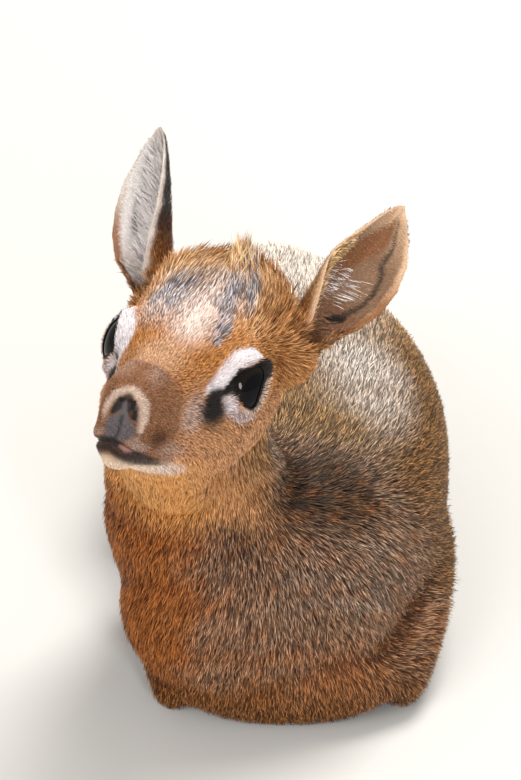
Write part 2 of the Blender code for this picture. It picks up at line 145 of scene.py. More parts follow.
def from_head(points):
    """Points in the head's millimetres, as metres in the model's frame."""
    return np.asarray(points, float) @ HEAD_AXES.T * MM + np.array(HEAD_PLACE)


print("head stands at", [round(v / MM, 1) for v in HEAD_PLACE])

# %% [markdown]
# Meshes with a hundred thousand points are quickest to make from arrays of numbers. These helpers build
# a mesh from arrays, add it to the model as a piece, and store numbers on its points for the materials.

# %% Meshes from arrays
def mesh_from(name, points, loops, sizes):
    """A mesh from points, one run of corner indices, and the number of corners of each face."""
    mesh = bpy.data.meshes.new(name)
    mesh.vertices.add(len(points))
    mesh.vertices.foreach_set("co", np.ascontiguousarray(points, np.float32).ravel())
    mesh.loops.add(len(loops))
    mesh.loops.foreach_set("vertex_index", np.ascontiguousarray(loops, np.int32))
    mesh.polygons.add(len(sizes))
    starts = np.concatenate(([0], np.cumsum(sizes)[:-1])).astype(np.int32)
    mesh.polygons.foreach_set("loop_start", starts)
    mesh.update(calc_edges=True)
    return mesh


def add_piece(name, mesh):
    """Adds the mesh to the model as a smooth piece."""
    piece = bpy.data.objects.new(name, mesh)
    bpy.context.scene.collection.objects.link(piece)
    mesh.polygons.foreach_set("use_smooth", np.full(len(mesh.polygons), True))
    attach(piece, "root")
    return piece


def give(mesh, name, values):
    """Stores a number, a vector or a colour for each point of the mesh."""
    values = np.asarray(values, np.float32)
    kinds = {1: ("FLOAT", "value"), 3: ("FLOAT_VECTOR", "vector"), 4: ("FLOAT_COLOR", "color")}
    kind, field = kinds[1 if values.ndim == 1 else values.shape[1]]
    mesh.attributes.new(name, kind, "POINT").data.foreach_set(field, values.ravel())


print("solids to dress:", len(frame["nodes"]))

# %% [markdown]
# Shaping works on arrays too. These helpers read a mesh's points, normals, triangles and edges, and put
# changed points back. Two small curves, used all through, blend one value softly into another.

# %% Arrays from meshes
def read_points(mesh, field):
    values = np.empty(len(mesh.vertices) * 3, np.float32)
    mesh.vertices.foreach_get(field, values)
    return values.reshape(-1, 3).astype(float)


def places_of(mesh):
    return read_points(mesh, "co")


def normals_of(mesh):
    return read_points(mesh, "normal")


def set_places(mesh, points):
    mesh.vertices.foreach_set("co", points.astype(np.float32).ravel())


def triangles_of(mesh):
    mesh.calc_loop_triangles()
    corners = np.empty(len(mesh.loop_triangles) * 3, np.int32)
    mesh.loop_triangles.foreach_get("vertices", corners)
    return corners.reshape(-1, 3)


def edges_of(mesh):
    pairs = np.empty(len(mesh.edges) * 2, np.int32)
    mesh.edges.foreach_get("vertices", pairs)
    return pairs.reshape(-1, 2)


def unit(vectors):
    return vectors / np.maximum(np.linalg.norm(vectors, axis=-1, keepdims=True), 1e-12)


def smoothstep(low, high, value):
    """0 at low and 1 at high, with soft ends. It also runs downwards, where low is above high."""
    t = np.clip((value - low) / (high - low), 0, 1)
    return t * t * (3 - 2 * t)


def towards(value, goal, share):
    """The value moved this share of the way to the goal."""
    return value + (goal - value) * share


print("points of the head's solid:", len(places_of(frame["nodes"]["head"].data)))

# %% [markdown]
# The real skin is one sheet, but the solids are parted at the neck, legs and tail. A voxel remesh closes
# those thin cuts. It is made twice, fine for the head and neck and coarser for the rest, and the two
# sheets overlap in a narrow band that the neck's fur covers. The remesh leaves small steps, which go when
# each point moves towards the middle of its neighbours.

# %% Helpers for the skin
CLOSE_CUTS = 0.3  # millimetres that each solid swells before the remesh


def joined(name, nodes):
    """One object with the meshes of these solids, each a little swollen so that they touch."""
    shape = bmesh.new()
    for node in nodes:
        mesh = frame["nodes"][node].data.copy()
        set_places(mesh, places_of(mesh) + normals_of(mesh) * CLOSE_CUTS * MM)
        shape.from_mesh(mesh)
        bpy.data.meshes.remove(mesh)
    mesh = bpy.data.meshes.new(name)
    shape.to_mesh(mesh)
    shape.free()
    thing = bpy.data.objects.new(name, mesh)
    bpy.context.scene.collection.objects.link(thing)
    return thing


def fill_in(thing, fillers):
    """Adds these closed meshes to the object's own."""
    shape = bmesh.new()
    shape.from_mesh(thing.data)
    for mesh in fillers:
        shape.from_mesh(mesh)
    shape.to_mesh(thing.data)
    shape.free()


def applied(thing):
    """The object's mesh as its modifier makes it. The object itself is removed."""
    depsgraph = bpy.context.evaluated_depsgraph_get()
    mesh = bpy.data.meshes.new_from_object(thing.evaluated_get(depsgraph))
    bpy.data.objects.remove(thing)
    return mesh


def remeshed(thing, voxel):
    """The object's outside as an even grid of faces."""
    work = thing.modifiers.new("even", "REMESH")
    work.mode = "VOXEL"
    work.voxel_size = voxel * MM
    return applied(thing)


def thinned(mesh, share):
    """The mesh with this share of its faces, kept where the form bends."""
    thing = bpy.data.objects.new("thin", mesh)
    bpy.context.scene.collection.objects.link(thing)
    thing.modifiers.new("thin", "DECIMATE").ratio = share
    return applied(thing)


def relaxed(points, edges, rounds, share=0.5):
    """Each point moves part of the way to the middle of its neighbours, this many times."""
    count = len(points)
    one, two = edges[:, 0], edges[:, 1]
    near = np.bincount(one, minlength=count) + np.bincount(two, minlength=count)
    for _ in range(rounds):
        middle = np.stack([
            np.bincount(one, points[two, k], count) + np.bincount(two, points[one, k], count)
            for k in range(3)
        ], 1) / near[:, None]
        points = points + (middle - points) * np.reshape(share, (-1, 1))
    return points


def settle(mesh, rounds, share=0.5):
    """Smooths the mesh where it lies."""
    set_places(mesh, relaxed(places_of(mesh), edges_of(mesh), rounds, share))
    mesh.update()


print("cuts closed by", CLOSE_CUTS, "mm on each side")

# %% [markdown]
# The solids carry broad locks on the crown that stand in for the crest. The real skull under the crest
# is smooth, so points above the skull's own curve are brought down to it, and the fur rebuilds the crest.

# %% The crown under the crest
CROWN_STATIONS = (-48, -40, -30, -18, -6, 6, 17)  # places along the face
CROWN_TOPS = (19, 32, 37, 34, 25, 16, 8.5)
CROWN_LOWS = (-14, -26, -32, -35, -35.5, -35, -34)
CROWN_HALVES = (14, 22.5, 26.5, 26, 24, 20, 14.4)
CROWN_POWER = 2.6
CREST_SPAN = (-46, 2)  # where the solid's locks stand, along the face
CREST_HALF = 15  # and to each side
UNDER_CROWN = 0.3


def crown_height(x, y):
    """Height of the skull's top, from an oval across at each station."""
    top, low, half = (np.interp(x, CROWN_STATIONS, row) for row in (CROWN_TOPS, CROWN_LOWS, CROWN_HALVES))
    across = np.clip(np.abs(y) / half, 0, 1) ** CROWN_POWER
    return (top + low) / 2 + (top - low) / 2 * (1 - across) ** (1 / CROWN_POWER)


def without_crest(points):
    """The points in metres, with those of the locks brought down to the skull."""
    local = in_head(points)
    x, y, z = local.T
    high = crown_height(x, y)
    crest = (x > CREST_SPAN[0]) & (x < CREST_SPAN[1]) & (np.abs(y) < CREST_HALF) & (z > high - UNDER_CROWN)
    local[crest, 2] = high[crest] - UNDER_CROWN
    return from_head(local)


print("the skull is", max(CROWN_HALVES) * 2, "mm wide")

# %% [markdown]
# Each ear is a rolled sheet that opens from a tube at the root to a leaf at the tip. A place on it is told
# by how far up it lies, how far round it lies from the middle of the back, with the outer edge at 1 and
# the inner edge at -1.

# %% The ears' own places
EAR_LENGTH, EAR_WIDTH, EAR_BEND = 62.5, 38, -4
EAR_ROOTS = {1: (-33, 21.5, 13), -1: (-36, -20, 14)}
EAR_WAYS = {1: (-0.45, 0.285, 0.85), -1: (-0.3, -0.505, 0.82)}  # from root to tip
EAR_OPENS = {1: (0.75, 0.6, 0), -1: (0.74, -0.62, 0)}  # the way that the hollow faces
EAR_SHARES = (0, 0.14, 0.28, 0.44, 0.6, 0.75, 0.88, 1)  # heights, as shares of the length
EAR_WIDTHS = (0.96, 1.04, 1.08, 1.04, 0.95, 0.77, 0.47, 0.07)  # width of the sheet there, laid flat
EAR_ARCS = (320, 285, 222, 168, 138, 118, 100, 80)  # degrees of a circle that it is rolled through
EAR_REACH = 3.2  # millimetres from the sheet's middle that still count as the ear


def ear_axes(side):
    """The way that the hollow faces, the way across and the way up, as rows."""
    way = unit(np.array(EAR_WAYS[side], float))
    opening = np.array(EAR_OPENS[side], float)
    opening = unit(opening - way * (opening @ way))
    return np.stack([opening, np.cross(way, opening), way])


def ear_round(local, side):
    """Height, bend, radius, middle, bearing and distance from the middle, for places near one ear."""
    x, y, z = ((local - np.array(EAR_ROOTS[side], float)) @ ear_axes(side).T).T
    share = z / EAR_LENGTH
    arc = np.radians(np.interp(share, EAR_SHARES, EAR_ARCS))
    radius = np.interp(share, EAR_SHARES, EAR_WIDTHS) * EAR_WIDTH / arc
    middle = radius + EAR_BEND * share ** 2
    return share, arc, radius, middle, np.arctan2(-y, middle - x), np.hypot(y, middle - x)


def ear_places(local, side):
    """Share of the height, place across, directions out of the back and to the outer edge, on the ear."""
    axes = ear_axes(side)
    share, arc, radius, middle, bearing, far = ear_round(local, side)
    zero = np.zeros_like(far)
    outward = np.stack([-np.cos(bearing), -np.sin(bearing), zero], 1) @ axes
    edgeward = np.stack([np.sin(bearing), -np.cos(bearing), zero], 1) @ axes * -side
    on_ear = smoothstep(0.05, 0.13, share) * (np.abs(far - radius) < EAR_REACH)
    return np.clip(share, 0, 1), -side * bearing / (arc / 2), outward, edgeward, on_ear


def drawn_in(local, side, shares, pulls):
    """The places with one ear's inner edge drawn towards the middle, by these pulls at these heights."""
    share, arc, radius, middle, bearing, far = ear_round(local, side)
    across = -side * bearing / (arc / 2)
    near = (np.abs(far - radius) < EAR_REACH) & (share > 0.2) & (share < 1.05)
    turned = bearing * (1 - np.interp(share, shares, pulls) * smoothstep(-0.05, -0.9, across))
    flat = np.stack([middle - far * np.cos(turned), -far * np.sin(turned), share * EAR_LENGTH], 1)
    return np.where(near[:, None], flat @ ear_axes(side) + np.array(EAR_ROOTS[side], float), local)


def on_an_ear(local):
    return np.maximum(ear_places(local, 1)[-1], ear_places(local, -1)[-1])


print("ear ways:", ear_axes(1)[2].round(2), ear_axes(-1)[2].round(2))

# %% [markdown]
# The coat lies on the skin, so the skin sits inside the solids by the depth of the fur: about 2.4 mm on
# the body, and almost nothing on the muzzle and the ears, where the hair is a velvet.

# %% Depth of the coat
BODY_DEPTH = 2.4
FACE_DEPTH = 0.7
CROWN_EXTRA = 1.1  # more than on the face
MUZZLE_DEPTH = 0.4
EAR_DEPTH = 0.1
LEG_DEPTH = 1.2


def coat_depth(points):
    """Millimetres of fur over the skin at each point."""
    local = in_head(points)
    face = smoothstep(-62, -18, local[:, 0]) * smoothstep(-52, -34, local[:, 2])
    muzzle = smoothstep(8, 26, local[:, 0])
    low = smoothstep(22, 8, points[:, 2] / MM)
    depth = towards(BODY_DEPTH, LEG_DEPTH, low)
    depth = towards(depth, FACE_DEPTH, face)
    crown = face * smoothstep(8, 24, local[:, 2]) * smoothstep(10, -8, local[:, 0])
    depth = depth + CROWN_EXTRA * crown
    depth = depth + (MUZZLE_DEPTH - depth) * muzzle * face
    return towards(depth, EAR_DEPTH, on_an_ear(local))


print("fur is", EAR_DEPTH, "to", BODY_DEPTH, "mm deep")

# %% [markdown]
# Each eye looks out through an almond opening in two lids. The lids are thin shells that lie on the
# eyeball, thinnest at their edge. They join the solids of the head before the remesh, so that lid and
# brow become one skin.

# %% Lids
LID_OUTLINE = (  # edge of the black skin, as degrees round the eyeball and degrees up, front corner first
    (-56, -9), (-54, 9), (-43, 21), (-28, 33), (-5, 46), (22, 53), (40, 48), (38, 36), (25, 28),
    (14, 20), (8, 7), (8, -10), (12, -24), (9, -34), (-8, -32), (-28, -24), (-44, -15),
)
LID_MARGIN = (  # the opening itself, a little inside it
    (-44, 1), (-41, 13), (-34, 24), (-19, 35), (-2, 41), (8, 35), (9, 22), (4, 9), (4, -8),
    (8, -23), (5, -32), (-13, -28), (-31, -17),
)
LID_MIDDLE = (-16, 4)  # the middle of both curves
LID_ROWS = (  # degrees outwards, outer radius
    (0, 12.1), (4, 12.6), (10, 13.0), (18, 13.0), (28, 13.0), (40, 12.8), (52, 12.4),
)
LID_INNER = 11.3  # radius of the wall on the eyeball
LID_BETWEEN = 12.4  # a radius between the two walls
LID_STEPS = 96


def round_curve(points, count):
    """A smooth closed curve through the points."""
    points = np.array(points, float)
    t = np.arange(count) / count * len(points)
    k, f = t.astype(int), (t % 1)[:, None]
    a, b, c, d = (points[(k + n) % len(points)] for n in (-1, 0, 1, 2))
    square, cube = 2 * a - 5 * b + 4 * c - d, 3 * b - a - 3 * c + d
    return 0.5 * (2 * b + (c - a) * f + square * f ** 2 + cube * f ** 3)


def eye_ways(degrees, side):
    """Directions in the head's frame from degrees round the eyeball and degrees up."""
    level, rise = np.radians(np.asarray(degrees, float)).T
    turn = EYE_SWING + level
    return np.stack([np.cos(turn) * np.cos(rise), side * np.sin(turn) * np.cos(rise), np.sin(rise)], 1)


def eye_centre(side):
    return in_head(np.array(EYE_PLACES[side])[None])[0]


def lid_ways(side, outwards, curve=LID_MARGIN):
    """Directions to a ring of points this many degrees outside the edge of the lids."""
    margin = eye_ways(round_curve(curve, LID_STEPS), side)
    middle = eye_ways([LID_MIDDLE], side)
    away = unit(margin - middle * (margin @ middle.T))
    angle = np.arccos(np.clip(margin @ middle.T, -1, 1)) + math.radians(outwards)
    return middle * np.cos(angle) + away * np.sin(angle)


def lid_shell(side):
    """A closed shell from the edge of the lids outwards, over the eyeball."""
    rings = [eye_centre(side) + lid_ways(side, out) * radius for out, radius in LID_ROWS]
    rings += [eye_centre(side) + lid_ways(side, out) * LID_INNER for out, _ in reversed(LID_ROWS)]
    points = from_head(np.concatenate(rings))
    loops = []
    for row in range(len(rings)):
        below, above = row * LID_STEPS, (row + 1) % len(rings) * LID_STEPS
        for k in range(LID_STEPS):
            n = (k + 1) % LID_STEPS
            loops += [below + k, below + n, above + n, above + k][::side]
    return mesh_from("lids", points, loops, np.full(len(loops) // 4, 4))


def beyond(local, side, curve=LID_OUTLINE):
    """Degrees round the eyeball from a closed curve to each point, negative inside the curve."""
    ways = unit(local - eye_centre(side))
    middle = eye_ways([LID_MIDDLE], side)[0]
    across = unit(np.cross(middle, (0, 0, 1)))
    up = np.cross(across, middle)
    ring = lid_ways(side, 0, curve)
    ring_turn = np.arctan2(ring @ up, ring @ across)
    order = np.argsort(ring_turn)
    ring_angle = np.degrees(np.arccos(ring @ middle))[order]
    turn = np.arctan2(ways @ up, ways @ across)
    reach = np.interp(turn, ring_turn[order], ring_angle, period=math.tau)
    return np.degrees(np.arccos(np.clip(ways @ middle, -1, 1))) - reach


print("eyes stand", round(np.linalg.norm(eye_centre(1) - eye_centre(-1)), 1), "mm apart")

# %% [markdown]
# Folds, fur and colours all need to know where on the face a point lies. A soft blob or a soft stripe
# answers with a share from 0 to 1, so that every form and marking can fade out at its edge. A face is
# nearly the same on both sides, so most are given for the left side only.

# %% Soft blobs and stripes
MUZZLE_SHIFT = 2.2  # millimetres that the nostrils stand to the left of the head's middle
FLAT = np.array((0.2, 1, 1))  # counts depth for little, for lines on the flat front of the nose


def blob(points, middle, radii, soft=0.3):
    """1 inside an ellipsoid and 0 outside, with a soft edge."""
    far = np.linalg.norm((points - np.array(middle, float)) / np.array(radii, float), axis=1)
    return smoothstep(1 + soft, 1 - soft, far)


def stripe(points, route, radius, soft=0.3):
    """1 near a line through the route's points, each given with a share of the radius."""
    best = np.full(len(points), 9.0)
    for a, b in zip(route, route[1:]):
        start, end = np.array(a[:3], float), np.array(b[:3], float)
        way = end - start
        t = np.clip((points - start) @ way / (way @ way), 0, 1)
        reach = radius * (a[3] + (b[3] - a[3]) * t)
        best = np.minimum(best, np.linalg.norm(points - start - t[:, None] * way, axis=1) / reach)
    return smoothstep(1 + soft, 1 - soft, best)


def mirrored(local):
    """The same places with both sides laid on the left, and the nose brought to the middle."""
    sided = local.copy()
    shift = MUZZLE_SHIFT * smoothstep(38, 43, sided[:, 0]) * smoothstep(-24, -21, sided[:, 2])
    sided[:, 1] = np.abs(sided[:, 1] - shift)
    return sided


def on_front(points, route, radius, soft=0.3):
    """A stripe that counts the depth for little, so that it holds where the skin is carved in."""
    return stripe(points * FLAT, [(x * FLAT[0], y, z, share) for x, y, z, share in route], radius, soft)


print("the nose stands", MUZZLE_SHIFT, "mm to the left")

# %% [markdown]
# The face has folds that the solids leave out. A few soft ridges and grooves along short lines raise the
# round cap of the muzzle, the rim round the nostrils and the brow, and sink the wrinkles, the line of the
# mouth and the hollow in front of each eye. The lines have names, because the markings follow them too.

# %% Folds of the face
NOSE_RIM = (
    (42, 5.2, -18.8, 0.7), (43, 5.5, -15, 1), (44, 5, -11.8, 1), (45.5, 3.6, -9.2, 1),
    (46.6, 1.8, -7.7, 1), (47, 0, -7.1, 1),
)
NOSTRIL = ((47.6, 1.9, -10.3, 0.75), (46.9, 2.3, -12.6, 1), (46.3, 3.2, -14.8, 0.6))
PHILTRUM = ((49, 0, -15.2, 1), (48.6, 0, -23, 1))
MOUTH = (
    (47.3, 0, -23.4, 1), (45.5, 3.6, -24.6, 1), (39.8, 6.3, -26.4, 1), (31.4, 9, -27.6, 1), (20, 12, -28, 0.6),
)
LOWER_LIP = ((45.5, 0, -25.6, 0.8), (41, 4.4, -27.9, 1.1), (32, 7.6, -29.2, 1), (22.5, 10, -29.2, 0.5))
BROW = (
    (15, 15.2, -5, 0.25), (12.5, 16, -2.4, 0.6), (9.6, 17.2, 0.5, 0.95), (7.8, 18.2, 3.6, 1),
    (5, 19.4, 7.4, 1), (-0.2, 22.2, 10.6, 0.8),
)
LOWER_LID = ((2.6, 20, -6.8, 0.95), (0, 22.5, -9, 1), (-5.5, 24.8, -9.8, 1.1), (-10, 25.7, -9, 0.7))
FOLDS = (  # height in millimetres, line, radius, softness
    (1.0, ((40, 6, -9, 1), (36, 9, -12, 1.2), (31, 9.5, -14, 1)), 5.5, 0.9),
    (0.7, ((42, 0, -4, 1), (36, 0, -1.5, 1), (32, 5, -3, 0.8)), 5, 0.9),
    (-0.9, ((23, 0, 5, 0.7), (24.5, 9, -1, 1), (21, 12.5, -9, 1), (19.5, 13.5, -17, 0.8)), 3.4, 0.8),
    (-0.45, ((36.5, 0, -0.6, 1), (33.5, 4, 0, 1), (30, 7.4, -2.4, 0.6)), 0.9, 0.8),
    (-0.4, ((31, 0, 1.4, 1), (27.5, 4.6, 1.6, 1), (24.5, 8, -0.5, 0.6)), 0.9, 0.8),
    (0.7, NOSE_RIM, 1.5, 0.8),
    (-2.4, NOSTRIL, 1.3, 0.5),
    (-0.9, MOUTH, 0.9, 0.8),
    (0.5, ((44, 5, -21.5, 0.8), (38, 8.2, -23.6, 1), (30, 10.5, -24.6, 1)), 2.2, 0.9),
    (0.6, LOWER_LIP, 2, 0.9),
    (-0.6, PHILTRUM, 0.7, 0.8),
    (0.7, BROW, 3.6, 0.9),
    (0.5, LOWER_LID, 2.2, 0.8),
    (-0.45, ((4.5, 20.5, -11.5, 0.8), (-3, 24, -13.6, 1), (-11, 26, -12.4, 0.7)), 1.2, 0.8),
    (-1.1, ((10.5, 17, -7, 1), (8.5, 18.2, -11, 1)), 3.6, 0.9),
)
CREST_FOOT = np.array((-14.5, 5.5, 34.0))  # the hair of the crown runs together here, on a low mound
CREST_MOUND = 5.5
MOUND_SPREAD = 7.0
EAR_CREASE = (  # share of the height and place across
    (0.95, 0.3), (0.8, 0.5), (0.67, 0.42), (0.62, 0.54), (0.52, 0.6), (0.42, 0.55), (0.28, 0.34),
)
EAR_STRETCH = 2.2  # the whole height counts as this many half widths


def near_route(share, across, route):
    """How far each place on the ear is from a line, in parts of the ear's half width."""
    places = np.stack([share * EAR_STRETCH, across], 1)
    best = np.full(len(share), 9.0)
    for a, b in zip(route, route[1:]):
        start, end = np.array((a[0] * EAR_STRETCH, a[1])), np.array((b[0] * EAR_STRETCH, b[1]))
        way = end - start
        t = np.clip((places - start) @ way / (way @ way), 0, 1)
        best = np.minimum(best, np.linalg.norm(places - start - t[:, None] * way, axis=1))
    return best


def folds(local, normals):
    """Millimetres that each point of the head moves along its normal."""
    sided = mirrored(local)
    height = sum(amount * stripe(sided, line, radius, soft) for amount, line, radius, soft in FOLDS)
    x, y, z = (local - CREST_FOOT).T
    mound = CREST_MOUND * np.exp(-(x ** 2 + y ** 2) / (2 * MOUND_SPREAD ** 2))
    height = height + mound * (z > -14) * (normals[:, 2] > 0)
    for side in SIDES:
        share, across, outward, _, on_ear = ear_places(local, side)
        inside = ((normals * outward).sum(1) < 0) * on_ear * smoothstep(1, 0.8, np.abs(across))
        crease = near_route(share, across, EAR_CREASE)
        swelling = 0.5 * np.exp(-((crease - 0.28) / 0.12) ** 2)
        groove = 0.5 * np.exp(-(crease / 0.09) ** 2)
        height = height + inside * (swelling - groove)
    return height


print(len(FOLDS), "folds")

# %% [markdown]
# Between the jaw and the neck, and behind the neck, the solids leave hollows that real skin spans. Small
# ellipsoids fill them before the remesh. The rough nostrils of the solid are filled too, because the
# folds carve finer ones.

# %% Fillers
FILLED_NOSTRILS = ((44.6, 2.6, -13), (44.6, -2.6, -13))
NOSTRIL_RADII = (3.9, 2.4, 4)
THROAT = (  # place along the face, across it, lowest point, half width: the skin from the chin to the neck
    (27, 1.5, -31.5, 7), (19, 1.5, -33, 9), (10, 1, -35.2, 11.5), (1, 0.5, -38, 14), (-8, 0, -41.3, 16),
    (-17, -1, -45, 17.5), (-26, -2, -49, 18), (-33, -3, -52.5, 18),
)
THROAT_LONG, THROAT_TALL = 12, 13
NAPE = (  # millimetres in the model's frame
    (-42.6, -35, 101), (-45.4, -41.2, 101), (-46, -48, 101.5), (-43.8, -54.4, 101),
)
NAPE_RADIUS = 9.5


def filler(middle, radii):
    """A small ellipsoid that fills a dent of the solids."""
    shape = bmesh.new()
    bmesh.ops.create_icosphere(shape, subdivisions=3, radius=1)
    mesh = bpy.data.meshes.new("filler")
    shape.to_mesh(mesh)
    shape.free()
    set_places(mesh, from_head(places_of(mesh) * radii + middle))
    return mesh


def neck_fillers():
    throat = [
        filler((x, y, low + THROAT_TALL), (THROAT_LONG, half, THROAT_TALL)) for x, y, low, half in THROAT
    ]
    return throat + [filler(place, (NAPE_RADIUS,) * 3) for place in in_head(np.array(NAPE) * MM)]


print(len(THROAT), "fillers at the throat,", len(NAPE), "at the nape")

# %% [markdown]
# The head's skin is the remesh of head, neck, ears, lids and fillers. Where head and neck meet it is
# smoothed most. Then each point sinks by the depth of the coat and rises by the folds, apart from the
# lids' inner walls, which stay on the eyeballs.

# %% Skin of the head and neck
HEAD_VOXEL = 0.62
HEAD_KEPT = 0.42  # share of the faces that stay
EAR_SMOOTHING = 0.2  # share of the way to the neighbours' middle, against 0.5 elsewhere
HEAD_ROUNDS, THROAT_ROUNDS = 3, 60


def at_throat(local):
    """1 on the skin where the head runs into the neck."""
    low = smoothstep(-27, -33, local[:, 2]) * smoothstep(38, 28, local[:, 0])
    nape = smoothstep(-35, -44, local[:, 0]) * smoothstep(26, 12, local[:, 2])
    return np.maximum(low, nape) * (1 - on_an_ear(local))


def on_lid_wall(local, normals):
    """True on the inner walls of the lids."""
    found = np.zeros(len(local), bool)
    for side in SIDES:
        from_eye = local - eye_centre(side)
        found |= ((normals * from_eye).sum(1) < 0) & (np.linalg.norm(from_eye, axis=1) < LID_BETWEEN)
    return found


head_thing = joined("head_skin", ["head", "neck", "ear_left", "ear_right"])
set_places(head_thing.data, without_crest(places_of(head_thing.data)))
nostrils = [filler(middle, NOSTRIL_RADII) for middle in FILLED_NOSTRILS]
fill_in(head_thing, [lid_shell(side) for side in SIDES] + nostrils + neck_fillers())
head_mesh = remeshed(head_thing, HEAD_VOXEL)
local = in_head(places_of(head_mesh))
settle(head_mesh, HEAD_ROUNDS, 0.5 - (0.5 - EAR_SMOOTHING) * on_an_ear(local))
settle(head_mesh, THROAT_ROUNDS, 0.5 * at_throat(local))
head_mesh = thinned(head_mesh, HEAD_KEPT)
head_points, normals = places_of(head_mesh), normals_of(head_mesh)
local, local_normals = in_head(head_points), normals @ HEAD_AXES
move = folds(local, local_normals) - coat_depth(head_points) - CLOSE_CUTS
move = np.where(on_lid_wall(local, local_normals), 0, move)
head_points = relaxed(head_points + normals * move[:, None] * MM, edges_of(head_mesh), 1)
print("head and neck:", len(head_points), "points")

# %% [markdown]
# The trunk and legs are bigger and plainer, so a coarser remesh is enough. Where the animal rests on the
# floor its fur is pressed flat, so the skin sinks less there.

# %% Skin of the trunk and legs
BODY_VOXEL = 1.25
BODY_KEPT = 0.4
BODY_ROUNDS, NECK_ROUNDS = 6, 15
NECK_FOOT = 70  # millimetres above the floor, where the extra smoothing of the throat ends
PRESSED = 0.8  # share of the fur's depth that is lost underneath
LOWEST_SKIN = 0.3 * MM
LIMBS = ["foreleg_left", "foreleg_right", "hindleg_left", "hindleg_right"]

body_thing = joined("body_skin", ["torso", "neck", "tail", *LIMBS])
fill_in(body_thing, neck_fillers())
body_mesh = remeshed(body_thing, BODY_VOXEL)
settle(body_mesh, BODY_ROUNDS)
points = places_of(body_mesh)
settle(body_mesh, NECK_ROUNDS, 0.5 * at_throat(in_head(points)) * (points[:, 2] > NECK_FOOT * MM))
body_mesh = thinned(body_mesh, BODY_KEPT)
body_points, normals = places_of(body_mesh), normals_of(body_mesh)
sink = coat_depth(body_points) + CLOSE_CUTS
resting = smoothstep(-0.55, -0.9, normals[:, 2]) * smoothstep(10, 3, body_points[:, 2] / MM)
sink = sink * (1 - PRESSED * resting)
body_points = relaxed(body_points - normals * sink[:, None] * MM, edges_of(body_mesh), 4)
body_points[:, 2] = np.maximum(body_points[:, 2], LOWEST_SKIN)
print("trunk and legs:", len(body_points), "points")

# %% [markdown]
# Each part of the coat has its own hair: rust on the chest, ticked grey-brown on the back, white over the
# eyes. One hair also changes along its length, so a coat kind is four colours from root to tip and the
# share of hairs that are dark. Masks then say where each kind grows.

